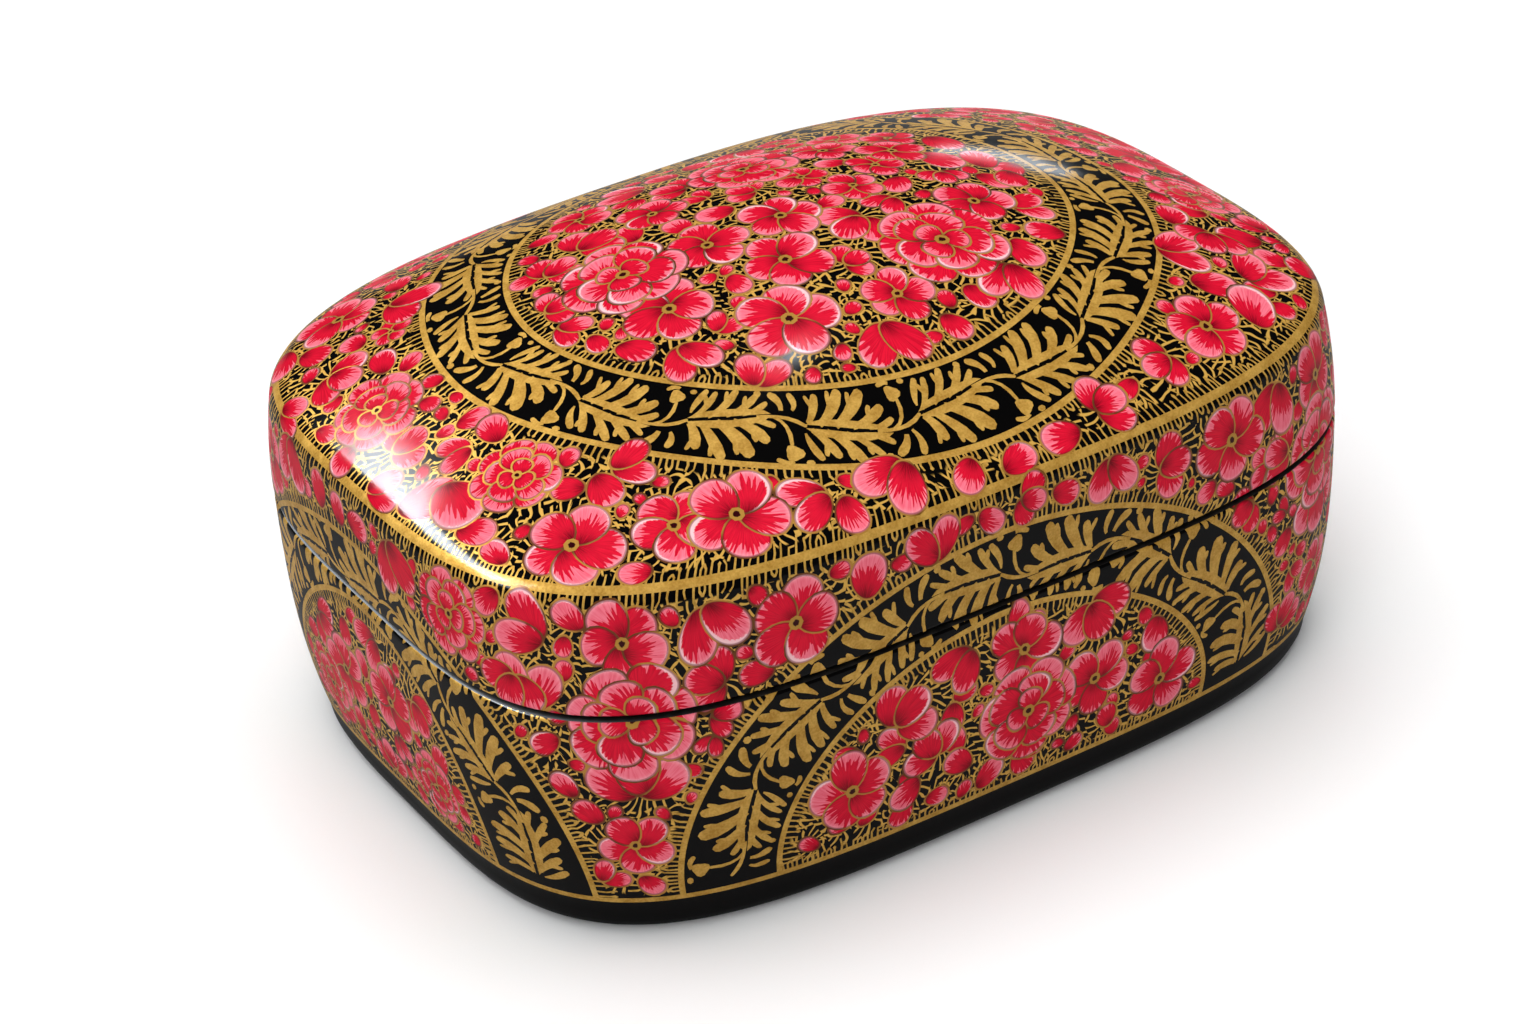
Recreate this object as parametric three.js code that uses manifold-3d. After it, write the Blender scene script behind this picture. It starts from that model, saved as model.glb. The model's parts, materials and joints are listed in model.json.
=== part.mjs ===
// Papier-mache trinket box with a domed lift-off lid, in millimetres, +Z up.
// The origin is on the surface that the box stands on, under the middle of the plan.
// X runs along the box, Y across it. The box is moulded in paper pulp over one wooden
// former, as a base wall and a lid. A board closes the foot of the wall, and a strip of
// card glued inside the wall stands proud of the seam to keep the lid in place.
import * as THREE from 'three';
import { mergeVertices } from 'three/addons/utils/BufferGeometryUtils.js';
import Module from 'manifold-3d';

// Overall sizes
const boxLength = 102;
const boxWidth = 76.6;
const boxHeight = 52.4;
const seamHeight = 26.4;
const ridgeHeight = 39.5;

// Shape of the plan: the power of its superellipse at the foot, the seam, the ridge and the crown
const footPower = 3.78;
const seamPower = 3.87;
const ridgePower = 3.23;
const crownPower = 2;

// Shape of the side: how far it draws in from its widest level, which lies at a share of the
// lid's side, and the flat ring of the foot that the box stands on
const widestShare = 0.53;
const footRadius = 2.6;
const footLand = 1.6;
const footTaper = 2.1;
const taperPower = 3;
const ridgeInset = 0.25;
const ridgeRounding = 1.7;
const domePower = 2;

// Walls and edges
const wallThickness = 2.4;
const crownThickness = 2.6;
const rimRadius = 0.7;
const seamGap = 0.4;

// Bottom board and collar
const boardThickness = 2.4;
const glueLine = 0.3;
const collarThickness = 1.2;
const collarAboveSeam = 5;
const collarBelowSeam = 9;
const collarJointGap = 0.4;
const lidClearance = 0.4;

// How finely the solids are cut
const roundSteps = 72;
const wallSteps = 6;
const sideSteps = 3;
const cornerSteps = 3;
const collarSteps = 2;
const domeSteps = 8;

const blackLacquer = { color: 0x0b0a0a, roughness: 0.16, metalness: 0 };
const blackPaint = { color: 0x151312, roughness: 0.5, metalness: 0 };

// A level is one closed outline of the box: its half length, half width, height and power.
const level = (x, y, z, power) => ({ x, y, z, power });

const insetBy = (l, inset) => level(l.x - inset, l.y - inset, l.z, l.power);

const mix = (a, b, share) => a + (b - a) * share;

const mixLevels = (a, b, share) => level(
  mix(a.x, b.x, share),
  mix(a.y, b.y, share),
  mix(a.z, b.z, share),
  mix(a.power, b.power, share),
);

const shares = (steps) => Array.from({ length: steps + 1 }, (_, i) => i / steps);

// A rounded edge: the curve that leaves level a for the sharp corner and arrives at level b.
const roundedCorner = (a, corner, b) => shares(cornerSteps).map(
  (share) => mixLevels(mixLevels(a, corner, share), mixLevels(corner, b, share), share),
);

// How far height z lies below the seam: 0 at the seam, 1 where the side meets the foot's rounding.
const depthBelowSeam = (z) => Math.max(0, (seamHeight - z) / (seamHeight - footRadius));

// The outside of the wall and of the lid's side at height z.
function outsideAt(z) {
  const lift = (Math.max(z, seamHeight) - seamHeight) / (ridgeHeight - seamHeight);
  const bulge = ridgeInset * ((lift - widestShare) / (1 - widestShare)) ** 2;
  const inset = bulge + footTaper * depthBelowSeam(z) ** taperPower;
  const power = z > seamHeight
    ? mix(seamPower, ridgePower, lift)
    : mix(seamPower, footPower, depthBelowSeam(z));
  return level(boxLength / 2 - inset, boxWidth / 2 - inset, z, power);
}

// A dome over the level at its edge: the level that lies at a share of the way out from the middle.
function domeAt(edge, crownHeight, share) {
  const rise = (crownHeight - edge.z) * (1 - share ** domePower);
  return level(
    edge.x * share,
    edge.y * share,
    edge.z + rise,
    mix(crownPower, edge.power, share ** 2),
  );
}

// Directions from the middle that cut the seam's outline into steps of equal length.
function evenDirections() {
  const fine = roundSteps * 64;
  const seam = outsideAt(seamHeight);
  const lengths = [0];
  for (let i = 1; i <= fine; i += 1) {
    const here = pointOf(seam, (i / fine) * 2 * Math.PI);
    const before = pointOf(seam, ((i - 1) / fine) * 2 * Math.PI);
    lengths.push(lengths[i - 1] + here.distanceTo(before));
  }
  return Array.from({ length: roundSteps }, (_, step) => {
    const wanted = (lengths[fine] * step) / roundSteps;
    return (lengths.findIndex((far) => far >= wanted) / fine) * 2 * Math.PI;
  });
}

// The point of a level that lies in one direction from the middle.
function pointOf(l, direction) {
  const across = Math.abs(Math.cos(direction)) / Math.max(l.x, 1e-9);
  const along = Math.abs(Math.sin(direction)) / Math.max(l.y, 1e-9);
  const reach = (across ** l.power + along ** l.power) ** (-1 / l.power);
  return new THREE.Vector3(reach * Math.cos(direction), reach * Math.sin(direction), l.z);
}

const directions = evenDirections();

// A solid with a skin through each level in turn. A first or last level of no size closes to a
// point, and a solid whose levels don't start and end at points is a ring that closes on itself.
function loft(levels) {
  const rows = [];
  const points = [];
  for (const l of levels) {
    const spots = l.x === 0 ? [new THREE.Vector3(0, 0, l.z)] : directions.map((d) => pointOf(l, d));
    rows.push(spots.map((_, i) => points.length + i));
    points.push(...spots);
  }
  const isRing = levels[0].x > 0;
  const faces = [];
  rows.forEach((row, r) => {
    if (r === rows.length - 1 && !isRing) return;
    const next = rows[(r + 1) % rows.length];
    for (let i = 0; i < roundSteps; i += 1) {
      const j = (i + 1) % roundSteps;
      if (row.length > 1) faces.push(row[i], row[j], next[j % next.length]);
      if (next.length > 1) faces.push(row[i % row.length], next[j], next[i]);
    }
  });
  const geometry = new THREE.BufferGeometry().setFromPoints(points);
  geometry.setIndex(faces);
  return geometry;
}

// The wall of the base: foot, outside, rim and inside.
function baseWallGeometry() {
  const footSide = outsideAt(footRadius);
  const footCorner = level(footSide.x, footSide.y, 0, footPower);
  const rim = outsideAt(seamHeight);
  const underRim = outsideAt(seamHeight - rimRadius);
  return loft([
    ...roundedCorner(insetBy(footCorner, footRadius), footCorner, footSide),
    ...shares(wallSteps).slice(1, -1).map((s) => outsideAt(mix(footRadius, seamHeight - rimRadius, s))),
    ...roundedCorner(underRim, rim, insetBy(rim, rimRadius)),
    insetBy(rim, wallThickness),
    ...shares(wallSteps).slice(0, -1).reverse().map((s) => baseInsideAt(mix(0, seamHeight, s))),
  ]);
}

// The inside of the base wall at height z. The wall thickens towards its foot, and it is straight
// beside the bottom board.
function baseInsideAt(z) {
  const height = Math.max(z, boardThickness + glueLine);
  const outside = outsideAt(height);
  const extra = (footRadius + footLand - wallThickness) * depthBelowSeam(height) ** taperPower;
  return insetBy(level(outside.x, outside.y, z, outside.power), wallThickness + extra);
}

// The board let into the foot of the wall.
function bottomBoardGeometry() {
  const edge = insetBy(baseInsideAt(boardThickness), glueLine);
  return loft([
    level(0, 0, 0, edge.power),
    level(edge.x, edge.y, 0, edge.power),
    level(edge.x, edge.y, boardThickness, edge.power),
    level(0, 0, boardThickness, edge.power),
  ]);
}

// The collar's outer face, or its inner one at an inset. It is glued to the inside of the base
// wall, and above the seam it keeps a clearance to the inside of the lid.
function collarAt(z, inset) {
  if (z <= seamHeight) return insetBy(baseInsideAt(z), glueLine + inset);
  return insetBy(outsideAt(z), wallThickness + lidClearance + inset);
}

function collarGeometry(wasm) {
  const low = seamHeight - collarBelowSeam;
  const high = seamHeight + collarAboveSeam;
  const heights = [
    ...shares(collarSteps).map((s) => mix(low, seamHeight, s)),
    ...shares(collarSteps).slice(1).map((s) => mix(seamHeight, high, s)),
  ];
  const strip = loft([
    ...heights.map((z) => collarAt(z, 0)),
    ...[...heights].reverse().map((z) => collarAt(z, collarThickness)),
  ]);
  // The strip's two ends meet in the middle of the back.
  const joint = new THREE.BoxGeometry(collarJointGap, boxWidth / 2, boxHeight);
  joint.translate(0, boxWidth / 2, seamHeight);
  return cut(wasm, strip, joint);
}

// The lid: rim, side, ridge and dome outside, then dome and side inside.
function lidGeometry() {
  const rim = outsideAt(seamHeight + seamGap);
  const overRim = outsideAt(seamHeight + seamGap + rimRadius);
  const ridge = outsideAt(ridgeHeight);
  const underRidge = outsideAt(ridgeHeight - ridgeRounding);
  const innerRidge = insetBy(outsideAt(ridgeHeight - crownThickness), wallThickness);
  const domeEdge = 1 - (2 * ridgeRounding) / boxWidth;
  const overRidge = domeAt(ridge, boxHeight, domeEdge);
  const innerCrown = boxHeight - crownThickness;
  return loft([
    ...roundedCorner(insetBy(rim, rimRadius), rim, overRim),
    ...shares(sideSteps).slice(1, -1).map((s) => outsideAt(mix(overRim.z, underRidge.z, s))),
    ...roundedCorner(underRidge, ridge, overRidge),
    ...shares(domeSteps).slice(1).map((s) => domeAt(ridge, boxHeight, domeEdge * (1 - s))),
    ...shares(domeSteps).map((s) => domeAt(innerRidge, innerCrown, s)),
    ...shares(sideSteps).slice(1).map(
      (s) => insetBy(outsideAt(mix(innerRidge.z, rim.z, s)), wallThickness),
    ),
  ]);
}

// Cuts one closed geometry out of another.
function cut(wasm, body, tool) {
  const solidOf = (geometry) => {
    const bare = new THREE.BufferGeometry();
    bare.setAttribute('position', geometry.getAttribute('position'));
    if (geometry.index) bare.setIndex(geometry.index);
    const merged = mergeVertices(bare);
    return new wasm.Manifold(new wasm.Mesh({
      numProp: 3,
      vertProperties: merged.getAttribute('position').array,
      triVerts: new Uint32Array(merged.index.array),
    }));
  };
  const mesh = solidOf(body).subtract(solidOf(tool)).getMesh();
  const result = new THREE.BufferGeometry();
  result.setAttribute('position', new THREE.BufferAttribute(mesh.vertProperties, mesh.numProp));
  result.setIndex(new THREE.BufferAttribute(mesh.triVerts, 1));
  return result;
}

function piece(name, geometry, finish) {
  geometry.computeVertexNormals();
  const mesh = new THREE.Mesh(geometry, new THREE.MeshStandardMaterial(finish));
  mesh.name = name;
  return mesh;
}

const wasm = await Module();
wasm.setup();

const box = new THREE.Group();
box.name = 'trinket_box';
box.add(
  piece('base_wall', baseWallGeometry(), blackLacquer),
  piece('bottom_board', bottomBoardGeometry(), blackPaint),
  piece('locating_collar', collarGeometry(wasm), blackPaint),
  piece('lid_shell', lidGeometry(), blackLacquer),
);

export default box;
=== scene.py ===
import json
import math

import bpy
import numpy as np
from mathutils import Matrix, Vector
from mathutils.geometry import delaunay_2d_cdt

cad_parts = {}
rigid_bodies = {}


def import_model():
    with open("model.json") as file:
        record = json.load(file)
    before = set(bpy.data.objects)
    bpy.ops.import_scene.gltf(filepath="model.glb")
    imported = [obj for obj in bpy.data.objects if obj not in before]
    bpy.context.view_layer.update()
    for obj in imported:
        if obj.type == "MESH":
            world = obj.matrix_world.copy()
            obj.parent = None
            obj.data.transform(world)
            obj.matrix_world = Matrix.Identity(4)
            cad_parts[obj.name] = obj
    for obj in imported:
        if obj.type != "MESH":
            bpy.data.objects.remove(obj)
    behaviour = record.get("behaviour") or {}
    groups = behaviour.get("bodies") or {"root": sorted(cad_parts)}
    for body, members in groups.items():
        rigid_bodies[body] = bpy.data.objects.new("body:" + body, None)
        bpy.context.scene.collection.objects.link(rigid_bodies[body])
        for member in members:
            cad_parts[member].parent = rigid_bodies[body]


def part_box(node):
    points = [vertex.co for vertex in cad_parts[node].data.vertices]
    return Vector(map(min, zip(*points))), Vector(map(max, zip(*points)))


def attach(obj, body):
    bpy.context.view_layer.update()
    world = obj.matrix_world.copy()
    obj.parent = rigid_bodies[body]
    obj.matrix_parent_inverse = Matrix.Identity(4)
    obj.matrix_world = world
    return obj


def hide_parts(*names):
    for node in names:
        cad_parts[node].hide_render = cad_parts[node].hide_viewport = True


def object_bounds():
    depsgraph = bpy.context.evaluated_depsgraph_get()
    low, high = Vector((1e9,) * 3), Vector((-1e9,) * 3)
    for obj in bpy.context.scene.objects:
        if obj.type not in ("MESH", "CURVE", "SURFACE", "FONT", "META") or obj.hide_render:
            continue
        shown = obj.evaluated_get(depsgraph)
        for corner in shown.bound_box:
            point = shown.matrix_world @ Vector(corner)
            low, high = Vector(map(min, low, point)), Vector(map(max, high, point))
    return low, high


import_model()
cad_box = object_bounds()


# Bottom board
# A thin board closes the foot of the box, glued inside the wall. It is cut to the outline of the
# wooden former that both shells are moulded on, and brushed with black paint that dries satin and
# shows the grain of the paper. Sizes are in millimetres here, and a mesh is scaled to metres.
MM = 0.001
half_length = (cad_box[1][0] - cad_box[0][0]) / 2 / MM
half_width = (cad_box[1][1] - cad_box[0][1]) / 2 / MM
seam_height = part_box("base_wall")[1][2] / MM
board_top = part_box("bottom_board")[1][2] / MM
lid_side_height = 13.1
ridge_height = seam_height + lid_side_height
widest_share = 0.53
ridge_inset = 0.25
foot_radius = 2.6
foot_land = 1.6
foot_taper = 2.1
wall_thickness = 2.4
glue_line = 0.3
foot_power = 3.78
seam_power = 3.87
ridge_power = 3.23
edge_bevel = 0.25
ring_steps = 240
sharp_angle = 35


def level(x, y, z, power):
    """A closed outline of the box: half length, half width, height and superellipse power."""
    return np.stack(np.broadcast_arrays(x, y, z, power), -1).astype(float)


def inset_by(outline, inset):
    return outline - np.array([1.0, 1.0, 0.0, 0.0]) * np.asarray(inset, float)[..., None]


def outside_at(z):
    """The outline of the wall, or of the lid's side, at height z."""
    z = np.asarray(z, float)
    lift = (np.maximum(z, seam_height) - seam_height) / (ridge_height - seam_height)
    depth = np.maximum(0, (seam_height - z) / (seam_height - foot_radius))
    bulge = ridge_inset * ((lift - widest_share) / (1 - widest_share)) ** 2
    inset = bulge + foot_taper * depth ** 3
    above = seam_power + (ridge_power - seam_power) * lift
    below = seam_power + (foot_power - seam_power) * depth
    power = np.where(z > seam_height, above, below)
    return level(half_length - inset, half_width - inset, z, power)


def at_height(outline, z):
    """The same outline at another height."""
    return level(outline[0], outline[1], z, outline[3])


def base_inside(z):
    """The inside of the wall, which thickens towards its foot."""
    height = max(z, board_top + glue_line)
    depth = max(0, (seam_height - height) / (seam_height - foot_radius))
    extra = (foot_radius + foot_land - wall_thickness) * depth ** 3
    return inset_by(at_height(outside_at(height), z), wall_thickness + extra)


def reach_of(outline, direction):
    """How far an outline lies from the middle in a direction."""
    across = np.abs(np.cos(direction)) / np.maximum(outline[..., 0], 1e-9)
    along = np.abs(np.sin(direction)) / np.maximum(outline[..., 1], 1e-9)
    power = outline[..., 3]
    return (across ** power + along ** power) ** (-1 / power)


def polar(reach, direction):
    """Spots at a distance from the middle of the plan, in a direction."""
    return np.stack([reach * np.cos(direction), reach * np.sin(direction)], -1)


def direction_of(spots):
    return np.arctan2(spots[..., 1], spots[..., 0])


def point_on(outline, direction):
    reach = reach_of(outline, direction)
    height = np.broadcast_to(outline[..., 2], reach.shape)
    return np.concatenate([polar(reach, direction), height[..., None]], -1)


# Lengths along the seam run from the middle of the front towards the right.
fine_steps = 20000
fine_directions = np.linspace(-math.pi / 2, 1.5 * math.pi, fine_steps + 1)
seam_line = point_on(outside_at(seam_height), fine_directions)
fine_lengths = np.r_[0, np.cumsum(np.linalg.norm(np.diff(seam_line, axis=0), axis=1))]
seam_length = fine_lengths[-1]


def direction_at(length):
    return np.interp(np.mod(length, seam_length), fine_lengths, fine_directions)


def even_directions(steps):
    """Directions that cut the seam into steps of equal length, in order."""
    return np.sort(np.mod(direction_at(np.arange(steps) * seam_length / steps), 2 * math.pi))


ring_directions = even_directions(ring_steps)


def ring_faces(first, second, count, closed=True):
    """Four-sided faces between two rings that are numbered alike."""
    faces = []
    for i in range(count if closed else count - 1):
        j = (i + 1) % count
        faces.append((first + i, first + j, second + j, second + i))
    return faces


def fan_faces(ring, middle, count):
    return [(ring + i, ring + (i + 1) % count, middle) for i in range(count)]


def new_object(name, data):
    """An object in the scene."""
    made = bpy.data.objects.new(name, data)
    bpy.context.scene.collection.objects.link(made)
    return made


def make_piece(name, points, faces, materials):
    mesh = bpy.data.meshes.new(name)
    mesh.from_pydata((np.asarray(points, float) * MM).tolist(), [], faces)
    for material in materials:
        mesh.materials.append(material)
    mesh.shade_smooth()
    mesh.set_sharp_from_angle(angle=math.radians(sharp_angle))
    return new_object(name, mesh)


def in_use(sockets, name):
    """A socket by its name, or by its number among those that the node's settings leave in use."""
    if isinstance(name, str):
        return sockets[name]
    return [socket for socket in sockets if socket.enabled][name]


def plug(socket, value):
    """Links a wire to a socket, or gives the socket a plain value."""
    if isinstance(value, Wire):
        value.tree.links.new(value.socket, socket)
    else:
        socket.default_value = value


class Wire:
    """An output of a node. Arithmetic on it adds Math nodes to its tree."""

    def __init__(self, tree, socket=None):
        self.tree = tree
        self.socket = socket

    def make(self, kind, inputs=None, output=0, **settings):
        """Adds a node with its settings and inputs, and gives one of its outputs."""
        node = self.tree.nodes.new(kind)
        for name, value in settings.items():
            setattr(node, name, value)
        for name, value in (inputs or {}).items():
            plug(in_use(node.inputs, name), value)
        return Wire(self.tree, in_use(node.outputs, output))

    def maths(self, operation, *values):
        return self.make("ShaderNodeMath", dict(enumerate(values)), operation=operation)

    def vectors(self, operation, *values):
        return self.make("ShaderNodeVectorMath", dict(enumerate(values)), operation=operation)

    def vector(self, x=0.0, y=0.0, z=0.0):
        return self.make("ShaderNodeCombineXYZ", {0: x, 1: y, 2: z})

    def parts(self):
        """The X, Y and Z of a vector."""
        node = self.make("ShaderNodeSeparateXYZ", {0: self}).socket.node
        return [Wire(self.tree, output) for output in node.outputs]

    def length(self):
        return self.vectors("LENGTH", self)

    def larger(self, other):
        return self.maths("MAXIMUM", self, other)

    def smaller(self, other):
        return self.maths("MINIMUM", self, other)

    def fraction(self):
        return self.maths("FRACT", self)

    def pingpong(self, size):
        return self.maths("PINGPONG", self, size)

    def place(self):
        """Where a spot lies on the object."""
        return self.make("ShaderNodeTexCoord", output="Object")

    def mark(self, layer):
        """What a layer of the mesh tells about the mark that a spot lies in."""
        return self.make("ShaderNodeUVMap", uv_map=layer)

    def __add__(self, other):
        return self.maths("ADD", self, other)

    def __sub__(self, other):
        return self.maths("SUBTRACT", self, other)

    def __mul__(self, other):
        return self.maths("MULTIPLY", self, other)

    def __truediv__(self, other):
        return self.maths("DIVIDE", self, other)

    def __rsub__(self, other):
        return self.maths("SUBTRACT", other, self)

    __radd__ = __add__
    __rmul__ = __mul__

    def step(self, low, high):
        """0 below low, 1 above high, and smooth between them."""
        inputs = {"Value": self, "From Min": low, "From Max": high}
        return self.make("ShaderNodeMapRange", inputs, interpolation_type="SMOOTHSTEP")

    def blend(self, first, second):
        """The first colour where this is 0, the second where it is 1."""
        return self.make("ShaderNodeMix", {0: self, 1: first, 2: second}, data_type="RGBA")

    def noise(self, vector, scale, detail):
        inputs = {"Vector": vector, "Scale": scale, "Detail": detail}
        return self.make("ShaderNodeTexNoise", inputs)

    def bump(self, height, strength, distance):
        inputs = {"Height": height, "Strength": strength, "Distance": distance}
        return self.make("ShaderNodeBump", inputs)


def set_inputs(node, **values):
    """Plugs values into a node's sockets, which are named with _ for a space."""
    for label, value in values.items():
        plug(node.inputs[label.replace("_", " ")], value)


def new_finish(name, **settings):
    """A material, a wire to build its nodes from, and its shader with some sockets set."""
    material = bpy.data.materials.new(name)
    material.use_nodes = True
    shader = material.node_tree.nodes["Principled BSDF"]
    set_inputs(shader, **settings)
    return material, Wire(material.node_tree), shader


black_paint, wire, shader = new_finish("brushed_black", Specular_IOR_Level=0.3)
grain = wire.noise(wire.place(), 900, 4)
thin_black = (0.020, 0.018, 0.016, 1)
full_black = (0.006, 0.0055, 0.005, 1)
set_inputs(
    shader,
    Base_Color=grain.step(0.35, 0.75).blend(full_black, thin_black),
    Roughness=grain * 0.25 + 0.45,
    Normal=wire.bump(grain, 0.3, 0.00006),
)

board_edge = inset_by(base_inside(board_top), glue_line)
board_levels = [
    (edge_bevel, 0),
    (0, edge_bevel),
    (0, board_top - edge_bevel),
    (edge_bevel, board_top),
]
points = [(0, 0, 0)]
for inset, z in board_levels:
    points.extend(point_on(at_height(inset_by(board_edge, inset), z), ring_directions))
points.append((0, 0, board_top))
faces = [(b, a, c) for a, b, c in fan_faces(1, 0, ring_steps)]
first_of_ring = [1 + ring_steps * i for i in range(len(board_levels) + 1)]
for lower, upper in zip(first_of_ring[:-2], first_of_ring[1:-1]):
    faces.extend(ring_faces(lower, upper, ring_steps))
faces.extend(fan_faces(first_of_ring[-2], first_of_ring[-1], ring_steps))
board = make_piece("bottom_board_painted", points, faces, [black_paint])
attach(board, "base")
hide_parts("bottom_board")


# Collar
# A strip of card, bent round inside the wall and glued there, stands proud of the seam and keeps
# the lid in place. Its two ends meet in the middle of the back.
collar_thickness = 1.2
collar_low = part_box("locating_collar")[0][2] / MM
collar_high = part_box("locating_collar")[1][2] / MM
lid_clearance = 0.4
joint_gap = 0.4
glued_edge = seam_height - 4


def collar_at(z, inset):
    if z <= seam_height:
        return inset_by(base_inside(z), glue_line + inset)
    return inset_by(outside_at(z), wall_thickness + lid_clearance + inset)


half_gap = joint_gap / 2 / (half_width - wall_thickness)
gap_directions = [math.pi / 2 + half_gap, 2.5 * math.pi - half_gap]
around = np.r_[ring_directions, ring_directions + 2 * math.pi]
around = around[(around > gap_directions[0] + 0.01) & (around < gap_directions[1] - 0.01)]
around = np.r_[gap_directions[0], around, gap_directions[1]]
outer_profile = [
    (collar_low, edge_bevel),
    (collar_low + edge_bevel, 0),
    (glued_edge, 0),
    (seam_height, 0),
    (seam_height + 0.01, 0),
    (collar_high - edge_bevel, 0),
    (collar_high, edge_bevel),
]
profile = outer_profile + [(z, collar_thickness - inset) for z, inset in reversed(outer_profile)]
count = len(around)
points = np.concatenate([point_on(collar_at(z, inset), around) for z, inset in profile])
faces = []
for i in range(len(profile)):
    faces.extend(ring_faces(count * i, count * ((i + 1) % len(profile)), count, closed=False))
faces.append(tuple(count * i for i in range(len(profile))))
faces.append(tuple(count * i + count - 1 for i in reversed(range(len(profile)))))
collar = make_piece("locating_collar_painted", points, faces, [black_paint])
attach(collar, "base")
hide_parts("locating_collar")


# Gold lines
# Two ovals on the lid, one line along its ridge, one round the foot and a double arch on each side
# are ruled in gold paint. All the decoration is drawn flat first, on the top as seen from above and
# on the side as length along the seam and height, and the two shells are then cut to it.
crown_height = cad_box[1][2] / MM
oval_middle = (-0.3, 0)
outer_oval = (37.4, 34.2)
inner_oval = (28.9, 25.7)
foot_line = 4.6
rim_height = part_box("lid_shell")[0][2] / MM
rim_line = 0.32
half_turn = seam_length / 2
# An arch is given by its middle along the seam, and the half width and top of its two lines.
front_arch = (-2.4, 36.0, 34.7, 26.0, 25.5)
short_arch = (-78.5, 31.5, 33.3, 19.5, 25.5)
arches = []
for middle, *sizes in (front_arch, short_arch):
    arches.append((middle, *sizes))
    arches.append((middle + half_turn, *sizes))


def sheet_from_side(flat):
    """Spots of the side on one flat sheet with the top: further out by their depth below the ridge."""
    direction = direction_at(flat[..., 0])
    reach = reach_of(outside_at(ridge_height), direction) + ridge_height - flat[..., 1]
    return polar(reach, direction)


def ellipse(middle, radii, start=0, end=360, steps=180):
    angles = np.radians(np.linspace(start, end, steps + 1))
    return np.array(middle) + np.array(radii) * polar(1, angles)


def arch_line(middle, half, top):
    return ellipse((middle, foot_line), (half, top - foot_line), 0, 180, 90)


def level_line(height, start=0, end=seam_length, count=401):
    """A level line along the side, all the way round it unless its ends are given."""
    return np.stack([np.linspace(start, end, count), np.full(count, height)], -1)


def flat_mesh(name, points, edges=(), faces=()):
    mesh = bpy.data.meshes.new(name)
    mesh.from_pydata([(x, y, 0) for x, y in np.asarray(points, float).tolist()], edges, faces)
    return mesh


def path_mesh(surface, points):
    """A drawn line as a mesh. Lines on the top are closed ovals, and those of the side are open."""
    closed = surface == "top"
    points = points[:-1] if closed else points
    edges = [(i, i + 1) for i in range(len(points) - 1)]
    if closed:
        edges.append((len(points) - 1, 0))
    return flat_mesh("path", points, edges)


def new_tree(name, sockets):
    """A Geometry Nodes tree with named inputs, and a wire from each of them."""
    tree = bpy.data.node_groups.new(name, "GeometryNodeTree")
    tree.interface.new_socket("Geometry", in_out="INPUT", socket_type="NodeSocketGeometry")
    for label, kind in sockets.items():
        tree.interface.new_socket(label, in_out="INPUT", socket_type="NodeSocket" + kind)
    tree.interface.new_socket("Geometry", in_out="OUTPUT", socket_type="NodeSocketGeometry")
    start = tree.nodes.new("NodeGroupInput")
    wires = {label: Wire(tree, start.outputs[label]) for label in ["Geometry", *sockets]}
    return tree, wires


def end_tree(geometry, material):
    realized = geometry.make("GeometryNodeRealizeInstances", {"Geometry": geometry})
    inputs = {"Geometry": realized, "Material": material}
    painted = geometry.make("GeometryNodeSetMaterial", inputs)
    end = geometry.tree.nodes.new("NodeGroupOutput")
    plug(end.inputs["Geometry"], painted)


def grown(tree, source, **settings):
    """The plain mesh that a tree grows from a source mesh."""
    worker = new_object(tree.name, source)
    modifier = worker.modifiers.new(tree.name, "NODES")
    modifier.node_group = tree
    for item in tree.interface.items_tree:
        if item.in_out == "INPUT" and item.name in settings:
            modifier[item.identifier] = settings[item.name]
    graph = bpy.context.evaluated_depsgraph_get()
    mesh = bpy.data.meshes.new_from_object(worker.evaluated_get(graph))
    bpy.data.objects.remove(worker)
    return mesh


paint_relief = 0.00004
varnish = {
    "Specular_IOR_Level": 0.0,
    "Coat_Weight": 0.16,
    "Coat_Roughness": 0.12,
    "Coat_IOR": 1.45,
}
gold_paint, wire, shader = new_finish("gold_paint", **varnish)
streaks = wire.noise(wire.place(), 700, 3)
flecks = wire.noise(wire.place(), 4200, 2)
deep_gold = (0.36, 0.185, 0.028, 1)
bright_gold = (0.60, 0.355, 0.078, 1)
tone = streaks.step(0.3, 0.7) * 0.6 + flecks.step(0.35, 0.65) * 0.4
set_inputs(
    shader,
    Base_Color=tone.blend(deep_gold, bright_gold),
    Metallic=flecks * 0.10 + 0.02,
    Roughness=streaks * 0.25 + 0.32,
    Normal=wire.bump(tone, 0.35, paint_relief),
)

ruling, wires = new_tree("ruled_line", {
    "Width": "Float", "Spacing": "Float", "Material": "Material",
})
curve = wires["Geometry"].make("GeometryNodeMeshToCurve", {"Mesh": wires["Geometry"]})
spaced = {"Curve": curve, "Length": wires["Spacing"]}
curve = curve.make("GeometryNodeResampleCurve", spaced, mode="LENGTH")
curve = curve.make("GeometryNodeSetCurveNormal", {"Curve": curve}, mode="Z_UP")
half = wires["Width"] * 0.5
ends = {"Start": half.vector(half * -1), "End": half.vector(half)}
across = half.make("GeometryNodeCurvePrimitiveLine", ends)
ribbon = curve.make("GeometryNodeCurveToMesh", {"Curve": curve, "Profile Curve": across})
end_tree(ribbon, wires["Material"])

# A shape painted later has a higher order and covers the ones below it.
scroll_order, comb_order, line_order, petal_order, rim_order = 1, 2, 3, 10, 50
order_step = 0.001
shapes = []


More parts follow.
